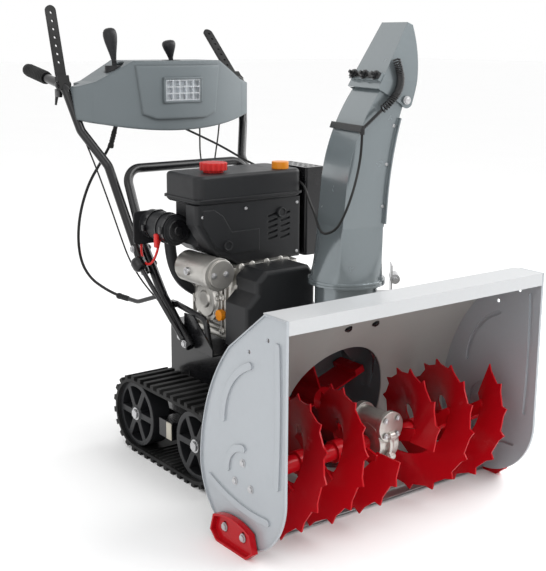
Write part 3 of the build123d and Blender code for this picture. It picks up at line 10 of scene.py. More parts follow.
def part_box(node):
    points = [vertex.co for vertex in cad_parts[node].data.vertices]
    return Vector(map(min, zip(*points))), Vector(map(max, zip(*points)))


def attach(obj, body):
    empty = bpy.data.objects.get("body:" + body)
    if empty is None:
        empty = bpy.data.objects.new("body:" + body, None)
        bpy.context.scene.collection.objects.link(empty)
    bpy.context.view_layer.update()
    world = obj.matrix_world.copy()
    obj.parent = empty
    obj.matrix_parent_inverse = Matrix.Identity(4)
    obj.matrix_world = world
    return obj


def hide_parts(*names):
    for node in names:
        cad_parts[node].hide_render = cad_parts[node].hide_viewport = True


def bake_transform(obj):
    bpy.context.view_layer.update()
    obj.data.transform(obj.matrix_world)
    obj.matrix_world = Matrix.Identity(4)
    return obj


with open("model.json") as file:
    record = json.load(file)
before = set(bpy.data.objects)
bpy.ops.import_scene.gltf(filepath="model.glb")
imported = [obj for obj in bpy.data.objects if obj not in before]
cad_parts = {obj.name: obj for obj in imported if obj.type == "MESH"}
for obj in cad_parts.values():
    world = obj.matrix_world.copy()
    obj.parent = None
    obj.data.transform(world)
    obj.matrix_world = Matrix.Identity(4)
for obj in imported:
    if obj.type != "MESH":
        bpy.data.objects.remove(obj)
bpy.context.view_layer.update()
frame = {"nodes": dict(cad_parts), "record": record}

MM = 0.001

bl_info = {
    "name": "Tracked snow blower",
    "version": (1, 0, 0),
    "blender": (4, 5, 0),
    "location": "View3D > Sidebar > Snow blower",
    "description": "Dresses the snow blower's solids with finishes, fasteners, trim and cables",
    "category": "Object",
}

# Places of the solids that several steps build on, in millimetres
AUGER_X = 514
AUGER_Z = 170
PLATE_Y = 380
CHUTE_X = 304.0
CHUTE_Y = 80.0
GRIP_Y = 294
STICK_X = -386

# Directions of the chute at rest
CHUTE_HEADING = math.radians(78.0)
CHUTE_OUT = Vector((math.sin(CHUTE_HEADING), -math.cos(CHUTE_HEADING), 0.0))

# Shares of the bolt size that the sidebar gives
LARGE_BOLT = 1.2
MEDIUM_BOLT = 0.9
LIGHT_BOLT = 0.8
SMALL_BOLT = 0.7

# Turns of fasteners on a circle, in degrees
THREE_TURNS = (90, 210, 330)
FOUR_TURNS = (45, 135, 225, 315)

SIDES = (-1, 1)


def rgba(colour):
    """Colour of three parts with full opacity."""
    return (colour[0], colour[1], colour[2], 1.0)


def shade(colour, share):
    """Colour made lighter or darker by a share."""
    return rgba([min(1.0, part * share) for part in colour])


class Field:
    """A shader socket with arithmetic, so that a pattern reads as a formula."""

    def __init__(self, finish, socket):
        self.finish = finish
        self.socket = socket

    def maths(self, operation, first, second):
        return self.finish.node("ShaderNodeMath", {"operation": operation}, {0: first, 1: second})

    def __add__(self, other):
        return self.maths("ADD", self, other)

    def __radd__(self, other):
        return self.maths("ADD", other, self)

    def __sub__(self, other):
        return self.maths("SUBTRACT", self, other)

    def __rsub__(self, other):
        return self.maths("SUBTRACT", other, self)

    def __mul__(self, other):
        return self.maths("MULTIPLY", self, other)

    def __rmul__(self, other):
        return self.maths("MULTIPLY", other, self)


FINISHES = {}


class Finish:
    """A procedural material on object coordinates, kept by its name in FINISHES."""

    def __init__(self, name, colour, fixed):
        self.material = bpy.data.materials.new(name)
        self.material.use_nodes = True
        self.material.diffuse_color = rgba(colour)
        FINISHES[name] = self.material
        self.tree = self.material.node_tree
        self.shader = self.tree.nodes["Principled BSDF"]
        for socket, value in fixed.items():
            self.shader.inputs[socket].default_value = value
        self.place = self.node("ShaderNodeTexCoord", {}, {}, "Object")

    def node(self, kind, settings, sockets, output=0):
        """Adds a node with its settings, then the values or links of its sockets."""
        node = self.tree.nodes.new(kind)
        for setting, value in settings.items():
            setattr(node, setting, value)
        for socket, value in sockets.items():
            if isinstance(value, Field):
                self.tree.links.new(value.socket, node.inputs[socket])
            else:
                node.inputs[socket].default_value = value
        return Field(self, node.outputs[output])

    def noise(self, scale, detail=2.0, stretch=(1.0, 1.0, 1.0)):
        place = self.node("ShaderNodeVectorMath", {"operation": "MULTIPLY"}, {0: self.place, 1: stretch})
        return self.node("ShaderNodeTexNoise", {}, {"Vector": place, "Scale": scale, "Detail": detail}, "Fac")

    def between(self, field, low, high):
        """Rises smoothly from 0 at low to 1 at high."""
        return self.node(
            "ShaderNodeMapRange",
            {"interpolation_type": "SMOOTHSTEP"},
            {"Value": field, "From Min": low, "From Max": high},
        )

    def tint(self, share, first, second):
        """Mix of two colours by a share."""
        return self.node("ShaderNodeMix", {"data_type": "RGBA"}, {0: share, 6: first, 7: second}, 2)

    def height(self):
        """Height over the ground in metres."""
        return self.node("ShaderNodeSeparateXYZ", {}, {0: self.place}, "Z")

    def feed(self, socket, field):
        self.tree.links.new(field.socket, self.shader.inputs[socket])

    def emboss(self, field, depth, edge):
        """Relief of a depth over the surface, with corners softened by an edge radius."""
        corner = self.node("ShaderNodeBevel", {"samples": 6}, {"Radius": edge})
        sockets = {"Height": field, "Distance": depth, "Normal": corner}
        self.feed("Normal", self.node("ShaderNodeBump", {}, sockets, "Normal"))


def paint(name, colour, rough, coat=0.0, metallic=0.0, gloss=0.5, gloss_tint=(1.0, 1.0, 1.0)):
    """Sprayed paint: soft clouds of tone, fine orange peel, thin grime and dust near the ground."""
    fixed = {
        "Metallic": metallic,
        "Coat Weight": coat,
        "Coat Roughness": 0.1,
        "Specular IOR Level": gloss,
        "Specular Tint": rgba(gloss_tint),
    }
    made = Finish(name, colour, fixed)
    clouds = made.noise(2.4, 3.0)
    speck = made.noise(120.0, 2.0)
    grime = made.between(made.noise(13.0, 6.0), 0.56, 0.80)
    low = made.between(made.height(), 0.22, 0.0)
    tone = made.tint(clouds * 0.75 + speck * 0.25, shade(colour, 0.88), shade(colour, 1.08))
    dust = shade([0.6 * part + 0.10 for part in colour], 0.8)
    made.feed("Base Color", made.tint(grime * (0.10 + low * 0.22), tone, dust))
    made.feed("Roughness", rough + grime * 0.12 + (speck - 0.5) * 0.06)
    made.emboss(made.noise(420.0, 1.0), 0.00012, 0.0016)


def plastic(name, colour, rough, edge=0.0035):
    """Moulded plastic with a fine spark grain and faint handling marks."""
    made = Finish(name, colour, {"Specular IOR Level": 0.32})
    clouds = made.noise(3.5, 3.0)
    rubs = made.between(made.noise(16.0, 5.0, (1.0, 2.5, 1.0)), 0.55, 0.78)
    made.feed("Base Color", made.tint(clouds, shade(colour, 0.85), shade(colour, 1.15)))
    made.feed("Roughness", rough + rubs * 0.10 + (clouds - 0.5) * 0.08)
    made.emboss(made.noise(700.0, 2.0), 0.0002, edge)


def casting(name, colour, rough):
    """Die-cast metal: grainy, a little blotched, darker where oil has dried."""
    made = Finish(name, colour, {})
    grain = made.noise(95.0, 4.0)
    blotch = made.between(made.noise(9.0, 5.0), 0.45, 0.75)
    made.feed("Base Color", made.tint(blotch, shade(colour, 1.05), shade(colour, 0.72)))
    made.feed("Metallic", 0.88 - blotch * 0.18)
    made.feed("Roughness", rough + grain * 0.16)
    made.emboss(grain, 0.0005, 0.003)


def rubber(name, colour, rough):
    """Matt rubber with a dusty bloom and a soft, uneven surface."""
    made = Finish(name, colour, {"Specular IOR Level": 0.22})
    bloom = made.between(made.noise(7.0, 5.0), 0.42, 0.80)
    pores = made.noise(260.0, 3.0)
    made.feed("Base Color", made.tint(bloom, rgba(colour), shade([part + 0.02 for part in colour], 1.3)))
    made.feed("Roughness", rough + bloom * 0.12 - pores * 0.08)
    made.emboss(pores, 0.0004, 0.0015)


def steel(name, colour, rough):
    """Plated steel with drawn lines."""
    made = Finish(name, colour, {})
    lines = made.noise(70.0, 3.0, (1.0, 9.0, 9.0))
    made.feed("Base Color", made.tint(lines, shade(colour, 0.82), shade(colour, 1.08)))
    made.feed("Metallic", 0.95 - lines * 0.1)
    made.feed("Roughness", rough + lines * 0.18)
    made.emboss(lines, 0.0001, 0.0006)


def lamp_plastic(name, colour):
    """Clear lamp plastic with moulded prisms."""
    made = Finish(name, colour, {"Transmission Weight": 0.55, "IOR": 1.49, "Coat Weight": 0.6})
    prisms = made.node(
        "ShaderNodeTexWave",
        {"wave_type": "BANDS", "bands_direction": "Y"},
        {"Vector": made.place, "Scale": 55.0, "Distortion": 0.0},
        "Fac",
    )
    made.feed("Base Color", made.tint(prisms, shade(colour, 0.9), shade(colour, 1.1)))
    made.feed("Roughness", 0.06 + prisms * 0.06)
    made.emboss(prisms, 0.0006, 0.0006)


def colour_property(name, description, default):
    """Colour that the sidebar's user can change."""
    return bpy.props.FloatVectorProperty(name=name, description=description, subtype="COLOR", default=default)


class SnowColours(bpy.types.PropertyGroup):
    """Colours of the machine's finishes."""

    plate: colour_property("Plates", "Silver paint of the side plates", (0.385, 0.41, 0.435))
    # Shell: the bucket's paint made darker than the plates' to stand in for the shade inside the bucket;
    # partly its own paint, partly painted shade
    shell: colour_property("Shell", "Paint inside the bucket", (0.34, 0.335, 0.32))
    rail: colour_property("Rail", "Pale paint of the top rail", (0.50, 0.51, 0.52))
    chute: colour_property("Chute", "Grey paint of the chute", (0.195, 0.225, 0.238))
    auger: colour_property("Auger", "Red paint of the auger and shoes", (0.42, 0.004, 0.009))
    panel: colour_property("Panel", "Grey plastic of the dashboard", (0.128, 0.149, 0.158))
    engine: colour_property("Engine", "Black plastic of the engine", (0.012, 0.0125, 0.014))


class SnowSizes(bpy.types.PropertyGroup):
    """Sizes of the fasteners and trim."""

    bolt: bpy.props.FloatProperty(
        name="Bolt", description="Height of a plate bolt's head", default=5.0 * MM, subtype="DISTANCE"
    )
    screw: bpy.props.FloatProperty(
        name="Screw", description="Height of a small screw's head", default=3.0 * MM, subtype="DISTANCE"
    )
    spring_wire: bpy.props.FloatProperty(
        name="Spring wire",
        description="Radius of the deflector spring's wire",
        default=2.2 * MM,
        subtype="DISTANCE",
    )
    spring_turns: bpy.props.IntProperty(
        name="Spring turns", description="Turns of the deflector spring", default=30, min=4
    )
    grip_rings: bpy.props.IntProperty(
        name="Grip rings", description="Raised rings on each handle grip", default=11, min=2
    )


class SnowStage(bpy.types.PropertyGroup):
    """Camera and light of the studio."""

    camera: bpy.props.FloatVectorProperty(
        name="Camera",
        description="Where the camera stands",
        subtype="XYZ",
        default=(2.2499, -1.6130, 1.0838),
    )
    yaw: bpy.props.FloatProperty(
        name="Yaw",
        description="Turn of the view from straight back",
        subtype="ANGLE",
        default=math.radians(37.15),
    )
    pitch: bpy.props.FloatProperty(
        name="Pitch", description="Tilt of the view downward", subtype="ANGLE", default=math.radians(12.70)
    )
    roll: bpy.props.FloatProperty(
        name="Roll", description="Turn of the picture", subtype="ANGLE", default=math.radians(0.40)
    )
    focal: bpy.props.FloatProperty(name="Focal length", description="In picture pixels", default=1073.1)
    picture: bpy.props.IntVectorProperty(
        name="Picture", description="Width and height", size=2, default=(546, 571)
    )
    centre: bpy.props.FloatVectorProperty(
        name="Centre", description="Pixel on the lens axis", size=2, default=(275.3, 278.4)
    )
    key_power: bpy.props.FloatProperty(name="Key light", description="Watts", default=60.0)
    fill_power: bpy.props.FloatProperty(name="Fill light", description="Watts", default=16.0)
    rim_power: bpy.props.FloatProperty(name="Rim light", description="Watts", default=42.0)
    backdrop: bpy.props.FloatProperty(name="Backdrop", description="Brightness of the room", default=1.0)


def millimetres(place):
    """Point given in millimetres."""
    return Vector(place) * MM


def chute_point(along, up, out):
    """Point by the chute in millimetres: along its throw, up from the ground, and out to its side."""
    throw = Vector((math.cos(CHUTE_HEADING), math.sin(CHUTE_HEADING), 0.0))
    return (Vector((CHUTE_X, CHUTE_Y, up)) + throw * along + CHUTE_OUT * out) * MM


def side_turn(radius, degrees):
    """Step from a circle's middle to its rim, in the side view."""
    angle = math.radians(degrees)
    return Vector((math.cos(angle), 0, math.sin(angle))) * radius


def front_turn(radius, degrees):
    """Step from a circle's middle to its rim, in the front view."""
    angle = math.radians(degrees)
    return Vector((0, math.cos(angle), math.sin(angle))) * radius


def turned(axis):
    """Turn that takes +Z to an axis."""
    return Vector(axis).to_track_quat("Z", "Y").to_matrix().to_4x4()


def soften(bm, edges, offset, segments=2):
    """Rounds edges of a bmesh."""
    bmesh.ops.bevel(
        bm,
        geom=edges,
        offset=offset,
        segments=segments,
        profile=0.5,
        affect="EDGES",
        material=-1,
        offset_type="OFFSET",
    )


def add_lathe(bm, profile, at, axis, steps=24):
    """Spins (radius, height) pairs about an axis through a point."""
    before = set(bm.verts)
    ring = [bm.verts.new((radius, 0.0, height)) for radius, height in profile]
    edges = [bm.edges.new(pair) for pair in zip(ring, ring[1:])]
    bmesh.ops.spin(
        bm, geom=ring + edges, cent=(0, 0, 0), axis=(0, 0, 1), angle=math.tau, steps=steps, use_merge=True
    )
    made = [vert for vert in bm.verts if vert not in before]
    bmesh.ops.remove_doubles(bm, verts=made, dist=1e-6)
    made = [vert for vert in bm.verts if vert not in before]
    bmesh.ops.transform(bm, matrix=Matrix.Translation(at) @ turned(axis), verts=made)


def add_prism(bm, at, axis, sides, radius, height, taper=1.0):
    """Upright prism that stands on a point along an axis."""
    matrix = Matrix.Translation(at) @ turned(axis) @ Matrix.Translation((0, 0, height / 2))
    bmesh.ops.create_cone(
        bm, cap_ends=True, segments=sides, radius1=radius, radius2=radius * taper, depth=height, matrix=matrix
    )


def add_bolt(bm, at, axis, size):
    """Hexagon bolt head with its washer and the slight dome on top; size is the head's height."""
    up = Vector(axis).normalized()
    at = Vector(at)
    add_prism(bm, at, axis, 20, 2.0 * size, 0.3 * size)
    add_prism(bm, at + up * 0.3 * size, axis, 6, 1.55 * size, 0.75 * size)
    add_prism(bm, at + up * 1.05 * size, axis, 12, 1.3 * size, 0.15 * size, 0.7)


# A screw's head in shares of its height, from the socket's floor out to the rim
SCREW_HEAD = ((0.0, 0.35), (0.6, 0.35), (0.62, 0.95), (1.1, 0.85), (1.5, 0.3), (1.55, 0.0))


def add_screw(bm, at, axis, size):
    """Round screw head with a socket; size is the head's height."""
    add_lathe(bm, [(wide * size, high * size) for wide, high in SCREW_HEAD], at, axis, 12)


def add_block(bm, low, high, edge):
    """Box between two corners with rounded edges."""
    low = Vector(low)
    high = Vector(high)
    made = bmesh.ops.create_cube(bm, size=1.0)["verts"]
    bmesh.ops.scale(bm, vec=high - low, verts=made)
    bmesh.ops.translate(bm, vec=(low + high) / 2, verts=made)
    soften(bm, list({line for vert in made for line in vert.link_edges}), edge)


def add_object(name, data):
    """New object of the scene, at the origin."""
    made = bpy.data.objects.new(name, data)
    bpy.context.scene.collection.objects.link(made)
    return made


def add_piece(name, bm, finish, body="chassis"):
    """Closes a bmesh into a piece that rides on a body; the slot is the finish's own."""
    bmesh.ops.recalc_face_normals(bm, faces=bm.faces[:])
    mesh = bpy.data.meshes.new(name)
    bm.to_mesh(mesh)
    bm.free()
    mesh.shade_smooth()
    mesh.set_sharp_from_angle(angle=math.radians(32))
    mesh.materials.append(FINISHES[finish])
    piece = add_object(name, mesh)
    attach(piece, body)
    return piece


def spline(name, points, radius):
    """Smooth curve through a route's control points."""
    curve = bpy.data.curves.new(name, "CURVE")
    curve.dimensions = "3D"
    curve.resolution_u = 8
    line = curve.splines.new("NURBS")
    line.points.add(len(points) - 1)
    for point, place in zip(line.points, points):
        point.co = (*place, 1.0)
    line.order_u = 3
    line.use_endpoint_u = True
    curve.bevel_depth = radius
    curve.bevel_resolution = 3
    curve.use_fill_caps = True
    return add_object(name, curve)


def read_line(guide):
    """Points of a curve's own line, read from its mesh; the curve is removed."""
    mesh = bpy.data.meshes.new_from_object(guide)
    points = [vert.co.copy() for vert in mesh.vertices]
    bpy.data.objects.remove(guide)
    bpy.data.meshes.remove(mesh)
    return points


def along_line(points, share):
    """Place and direction at a share of the way along a line of points."""
    at = share * (len(points) - 1)
    first = min(int(at), len(points) - 2)
    step = points[first + 1] - points[first]
    return points[first] + step * (at - first), step.normalized()


def as_mesh(curve, name, finish):
    """Turns a curve with a bevel into a mesh piece of one finish."""
    mesh = bpy.data.meshes.new_from_object(curve)
    mesh.name = name
    mesh.materials.clear()
    mesh.materials.append(FINISHES[finish])
    mesh.shade_smooth()
    bpy.data.objects.remove(curve)
    return add_object(name, mesh)


def hang_cord(
    name, places, diameter, finish="grip_rubber", replaced=None
):
    """Free cord of the chassis along a route in millimetres, in place of a solid where one is named."""
    route = [millimetres(place) for place in places]
    line = spline(name, route, diameter / 2)
    line.data.materials.append(FINISHES[finish])
    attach(line, "chassis")
    if replaced:
        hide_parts(replaced)


# Solids whose finish isn't the one that their slot names
SPECIAL_FINISHES = {
    "fuel_cap": "cap_red",
    "stop_key": "cap_red",
    "track_frame_right": "tube_black",
    "track_frame_left": "tube_black",
    "clutch_levers": "grip_rubber",
    "impeller_drum": "chute_grey",
    "handle_brackets": "tube_black",
}


class SNOW_OT_finishes(bpy.types.Operator):
    """Makes the finishes and gives one to every solid"""

    bl_idname = "snow.finishes"
    bl_label = "Finishes"

    def execute(self, context):
        colours = context.scene.snow_colours
        paint("plate_silver", colours.plate, 0.33, coat=0.25, metallic=0.25)
        # The shell's colour carries painted shade: it is darkened for the shade inside the bucket
        paint("shell_grey", colours.shell, 0.38, coat=0.15, metallic=0.15)
        paint("rail_white", colours.rail, 0.32, coat=0.2)
        paint("chute_grey", colours.chute, 0.20, coat=0.6, metallic=0.45)
        paint("auger_red", colours.auger, 0.20, coat=0.16, gloss=0.14, gloss_tint=(1.0, 0.6, 0.6))
        casting("cast_silver", (0.52, 0.505, 0.475), 0.28)
        paint("tube_black", (0.006, 0.006, 0.007), 0.24, coat=0.25, gloss=0.32)
        rubber("track_rubber", (0.006, 0.006, 0.006), 0.60)
        plastic("engine_black", colours.engine, 0.42)
        plastic("panel_grey", colours.panel, 0.34, edge=0.010)
        rubber("grip_rubber", (0.010, 0.010, 0.010), 0.58)
        lamp_plastic("lamp_lens", (0.80, 0.84, 0.88))
        steel("steel", (0.56, 0.56, 0.57), 0.24)
        paint("frame_beige", (0.46, 0.43, 0.36), 0.45)
        plastic("cap_yellow", (0.72, 0.24, 0.008), 0.35)
        plastic("cap_red", (0.55, 0.012, 0.010), 0.32)
        for subpart in frame["record"]["subparts"]:
            node = subpart["node"]
            solid = frame["nodes"][node]
            solid.data.materials.clear()
            solid.data.materials.append(FINISHES[SPECIAL_FINISHES.get(node, subpart["material_slot"])])
        return {"FINISHED"}


# Bolts of the bucket, in millimetres; the roof's are found by a ray from the mouth
BEARING_CIRCLE = 33
SHOE_BOLTS_X = (460, 528)
SHOE_BOLT_Z = 40
SHOE_RIM = 9.0
ROOF_BOLTS_Y = (-40, 44)
ROOF_RAY_X = 700
ROOF_RAY_Z = 200
ROOF_RAY = Vector((-0.73, 0.0, 0.68))


class SNOW_OT_bucket_bolts(bpy.types.Operator):
    """Bolts of the auger bearings, the skid shoes and the shell's roof"""

    bl_idname = "snow.bucket_bolts"
    bl_label = "Bucket bolts"

    def execute(self, context):
        size = context.scene.snow_sizes.bolt
        bm = bmesh.new()
        shoe_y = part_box("skid_shoes")[1].y - SHOE_RIM * MM
        for side in SIDES:
            axis = (0, side, 0)
            bearing = millimetres((AUGER_X, side * PLATE_Y, AUGER_Z))
            for turn in THREE_TURNS:
                add_bolt(bm, bearing + side_turn(BEARING_CIRCLE * MM, turn), axis, MEDIUM_BOLT * size)
            for x in SHOE_BOLTS_X:
                add_bolt(bm, (x * MM, side * shoe_y, SHOE_BOLT_Z * MM), axis, size)
        add_piece("bucket_bolts", bm, "steel")

        bm = bmesh.new()
        shell = frame["nodes"]["bucket_shell"]
        for y in ROOF_BOLTS_Y:
            hit, place, normal = shell.ray_cast(millimetres((ROOF_RAY_X, y, ROOF_RAY_Z)), ROOF_RAY)[:3]
            if not hit:
                raise RuntimeError("The shell has no roof to bolt to")
            add_bolt(bm, place, normal, size)
        add_piece("shell_bolts", bm, "tube_black")
        return {"FINISHED"}


# Collars of the auger's shaft and the gearbox's bolts, in millimetres
COLLARS_Y = (-227, -121, 121, 227)
COLLAR_RADIUS = 25.5
CASE_CIRCLE = 44
CASE_HALF = 5
CASE_TOP_Z = 205
SNOUT_Z = 215
SNOUT_CIRCLE = 26

# Seam of the gearbox and the ears on it, in metres
SEAM_PROFILE = (
    (0.044, -0.006), (0.054, -0.006), (0.055, -0.004), (0.055, 0.004), (0.054, 0.006), (0.044, 0.006),
)
EAR_CIRCLE = 0.056
EAR_RADIUS = 0.009
EAR_HALF = Vector((0, 0.008, 0))


class SNOW_OT_auger_hardware(bpy.types.Operator):
    """Shear bolts through the auger's collars, the gearbox's case bolts and its seam"""

    bl_idname = "snow.auger_hardware"
    bl_label = "Auger hardware"

    def execute(self, context):
        size = context.scene.snow_sizes.bolt
        bm = bmesh.new()
        for y in COLLARS_Y:
            for way in SIDES:
                place = millimetres((AUGER_X + way * COLLAR_RADIUS, y, AUGER_Z))
                add_bolt(bm, place, (way, 0, 0), LIGHT_BOLT * size)
        add_piece("shear_bolts", bm, "steel", "auger")

        bm = bmesh.new()
        for way in SIDES:
            cheek = millimetres((AUGER_X, way * CASE_HALF, AUGER_Z))
            for turn in range(20, 380, 60):
                place = cheek + side_turn(CASE_CIRCLE * MM, turn)
                if place.z < CASE_TOP_Z * MM:
                    add_bolt(bm, place, (0, way, 0), SMALL_BOLT * size)
        snout = Vector((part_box("auger_gearbox")[1].x, 0, SNOUT_Z * MM))
        for turn in FOUR_TURNS:
            add_bolt(bm, snout + front_turn(SNOUT_CIRCLE * MM, turn), (1, 0, 0), SMALL_BOLT * size)
        add_piece("gearbox_bolts", bm, "steel")

        bm = bmesh.new()
        middle = millimetres((AUGER_X, 0, AUGER_Z))
        add_lathe(bm, SEAM_PROFILE, middle, (0, 1, 0), 48)
        for turn in range(-130, 131, 52):
            ear = middle + side_turn(EAR_CIRCLE, turn)
            add_prism(bm, ear - EAR_HALF, (0, 1, 0), 20, EAR_RADIUS, 2 * EAR_HALF.y)
            for way in SIDES:
                add_bolt(bm, ear + way * EAR_HALF, (0, way, 0), SMALL_BOLT * size)
        add_piece("gearbox_seam", bm, "cast_silver")
        return {"FINISHED"}


# Fasteners of the chute in its own plane, in millimetres along, up and out
HOOD_PIVOT = (109, 940)
HOOD_HALF = 78
DUCT_SCREWS = ((58, 690), (66, 790), (83, 880))
DUCT_HALF = 65
CLAMP_PLACE = (39.0, 996.7)
CLAMP_FACING = (-151, 83)
CLAMP_STUDS_OUT = (-52, 0, 52)
CLAMP_LIFT = 1.4
STUD_LIFT = 2.4

# Clamp band over the hood, in metres
CLAMP_SIZE = (0.142, 0.014, 0.003)
CLAMP_EDGE = 0.0008
STUD_RADIUS = 0.0042
STUD_LENGTH = 0.008


class SNOW_OT_chute_hardware(bpy.types.Operator):
    """Pivot bolts and screws of the chute, and the clamp band of its deflector"""

    bl_idname = "snow.chute_hardware"
    bl_label = "Chute hardware"

    def execute(self, context):
        sizes = context.scene.snow_sizes
        bm = bmesh.new()
        for way in SIDES:
            add_bolt(bm, chute_point(*HOOD_PIVOT, way * HOOD_HALF), CHUTE_OUT * way, sizes.bolt)
            for screw in DUCT_SCREWS:
                add_screw(bm, chute_point(*screw, way * DUCT_HALF), CHUTE_OUT * way, sizes.screw)
        add_piece("chute_bolts", bm, "steel", "chute")

        bm = bmesh.new()
        facing = (chute_point(*CLAMP_FACING, 0) - chute_point(0, 0, 0)).normalized()
        turn = Matrix((CHUTE_OUT, CHUTE_OUT.cross(facing), facing)).transposed().to_4x4()
        band = Matrix.Translation(chute_point(*CLAMP_PLACE, 0) + facing * CLAMP_LIFT * MM) @ turn
        bmesh.ops.create_cube(bm, size=1.0, matrix=band @ Matrix.Diagonal((*CLAMP_SIZE, 1.0)))
        soften(bm, bm.edges[:], CLAMP_EDGE)
        for out in CLAMP_STUDS_OUT:
            foot = chute_point(*CLAMP_PLACE, out) + facing * STUD_LIFT * MM
            head = LARGE_BOLT * sizes.bolt
            add_bolt(bm, foot, facing, head)
            add_prism(bm, foot + facing * head, facing, 14, STUD_RADIUS, STUD_LENGTH)
        add_piece("clamp_band", bm, "tube_black", "deflector")
        return {"FINISHED"}


# Spring's middle line in the chute's own plane, in millimetres along, up and out
SPRING_ROUTE = ((74, 1036, 82), (86, 1006, 82), (89, 976, 82), (72, 944, 82), (40, 920, 82))
SPRING_RADIUS = 8.0 * MM
SPRING_STEPS = 12


class SNOW_OT_deflector_spring(bpy.types.Operator):
    """Coil spring between the deflector's cheek and its cable"""

    bl_idname = "snow.deflector_spring"
    bl_label = "Deflector spring"

    def execute(self, context):
        sizes = context.scene.snow_sizes
        line = read_line(spline("spring_guide", [chute_point(*place) for place in SPRING_ROUTE], 0.0))
        coil = []
        steps = SPRING_STEPS * sizes.spring_turns
        for step in range(steps + 1):
            place, ahead = along_line(line, step / steps)
            across = ahead.cross(CHUTE_OUT).normalized()
            angle = math.tau * step / SPRING_STEPS
            coil.append(place + (CHUTE_OUT * math.cos(angle) + across * math.sin(angle)) * SPRING_RADIUS)
        wire = spline("spring_wire", coil, sizes.spring_wire)
        wire.data.resolution_u = 2
        wire.data.bevel_resolution = 1
        spring = as_mesh(wire, "deflector_coil", "tube_black")
        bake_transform(spring)
        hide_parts("deflector_spring")
        return {"FINISHED"}


# Routes of the cables, in millimetres; the deflector's starts in the chute's own plane
SHIFT_ROUTE = (
    (-388, -172, 832), (-394, -180, 796), (-414, -202, 744), (-444, -228, 682), (-474, -242, 600),
    (-488, -246, 520), (-472, -246, 452), (-420, -244, 414), (-348, -239, 398), (-282, -233, 390),
    (-228, -228, 390),
)
SHIFT_DIAMETER = 8.0 * MM
DEFLECTOR_ROUTE = (
    (-12, 864, 82), (-12, 824, 82), (-24, 762, 83), (-42, 707, 84), (-62, 666, 85),
)
DEFLECTOR_ROUTE_REAR = (
    (366, -10, 644), (344, -19, 632), (318, -12, 630), (286, 4, 638), (238, 32, 660),
    (166, 70, 684), (104, 108, 704), (46, 135, 714), (-40, 134.5, 720), (-112, 131, 730),
    (-184, 118, 750), (-254, 92, 782), (-322, 54, 812), (-372, 20, 836),
)
DEFLECTOR_DIAMETER = 6.0 * MM
CONTROL_DIAMETER = 4.4 * MM
CONTROL_CABLES = (
    (
        "auger_clutch_cable",
        0.703,
        (
            (-430, -276, 902), (-424, -272, 872), (-398, -264, 816), (-350, -254, 738),
            (-284, -251, 644), (-226, -250, 560), (-192, -247, 508), (-166, -226, 452),
            (-146, -184, 392), (-132, -140, 340), (-128, -118, 320),
        ),
    ),
    (
        "drive_clutch_cable",
        0.597,
        (
            (-350, 150, 852), (-352, 148, 812), (-354, 137, 745), (-330, 106, 660),
            (-290, 70, 570), (-248, 34, 480), (-212, 4, 400), (-190, -18, 340), (-178, -24, 318),
        ),
    ),
    (
        "throttle_cable",
        0.568,
        (
            (-332, 70, 850), (-336, 72, 810), (-346, 79, 740), (-324, 92, 650), (-282, 104, 560),
            (-236, 108, 470), (-204, 104, 396), (-188, 98, 340), (-178, 94, 318),
        ),
    ),
)

# Ribbed boot at each end of the shift cable, in metres from that end
BOOT_RIDGES = 4
BOOT_PITCH = 0.008
BOOT_TIP = ((0.0042, 0.0), (0.0062, 0.001), (0.0066, 0.006))
BOOT_RIDGE = ((0.0078, 0.010), (0.0064, 0.014))
BOOT_FOOT = ((0.0084, 0.044), (0.0084, 0.052), (0.0042, 0.054))


class SNOW_OT_cables(bpy.types.Operator):
    """Free loop of the shift cable, the deflector's cable and the thin control cables"""

    bl_idname = "snow.cables"
    bl_label = "Cables"

    def execute(self, context):
        hang_cord("shift_loop", SHIFT_ROUTE, SHIFT_DIAMETER, replaced="shift_cable")
        self.boots()
        self.deflector_line()
        for name, length, places in CONTROL_CABLES:
            hang_cord(name, places, CONTROL_DIAMETER)
        return {"FINISHED"}

    def boots(self):
        boot = list(BOOT_TIP)
        for ridge in range(BOOT_RIDGES):
            boot += [(radius, height + BOOT_PITCH * ridge) for radius, height in BOOT_RIDGE]
        boot += BOOT_FOOT
        bm = bmesh.new()
        for end, inward in ((SHIFT_ROUTE[0], SHIFT_ROUTE[1]), (SHIFT_ROUTE[-1], SHIFT_ROUTE[-2])):
            add_lathe(bm, boot[::-1], millimetres(end), Vector(inward) - Vector(end), 20)
        add_piece("cable_boots", bm, "grip_rubber")

    def deflector_line(self):
        route = [chute_point(*place) for place in DEFLECTOR_ROUTE]
        route += [millimetres(place) for place in DEFLECTOR_ROUTE_REAR]
        path = read_line(spline("deflector_guide", route, 0.0))
        bevel = spline("deflector_bevel", route, DEFLECTOR_DIAMETER / 2)
        cable = as_mesh(bevel, "deflector_line", "grip_rubber")
        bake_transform(cable)
        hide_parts("deflector_cable")


# Crankcase: cover, ribs, lugs and the bolts on the engine's front, in metres
ENGINE_SETBACK = 0.010
COVER_X = -0.012
COVER_Z = 0.420
COVER_PROFILE = (
    (0.0, 0.014), (0.020, 0.014), (0.024, 0.010), (0.044, 0.010), (0.048, 0.006), (0.058, 0.006),
    (0.060, 0.0),
)
COVER_CIRCLE = 0.053
COVER_STEP = Vector((0, -0.006, 0))
LEVEL_RIBS_Z = (0.346, 0.358, 0.370)
LEVEL_RIB_LOW = Vector((-0.064, -0.007, -0.002))
LEVEL_RIB_HIGH = Vector((0.060, 0.002, 0.002))
LEVEL_RIB_EDGE = 0.0008
UPRIGHT_RIBS_X = (-0.070, 0.062, 0.078)
UPRIGHT_RIB_LOW = Vector((-0.003, -0.009, 0.344))
UPRIGHT_RIB_HIGH = Vector((0.003, 0.002, 0.466))
UPRIGHT_RIB_EDGE = 0.0012
LUG_DEPTH = 0.009
LUG_HEIGHT = 0.004
LUG_RADIUS = 0.010
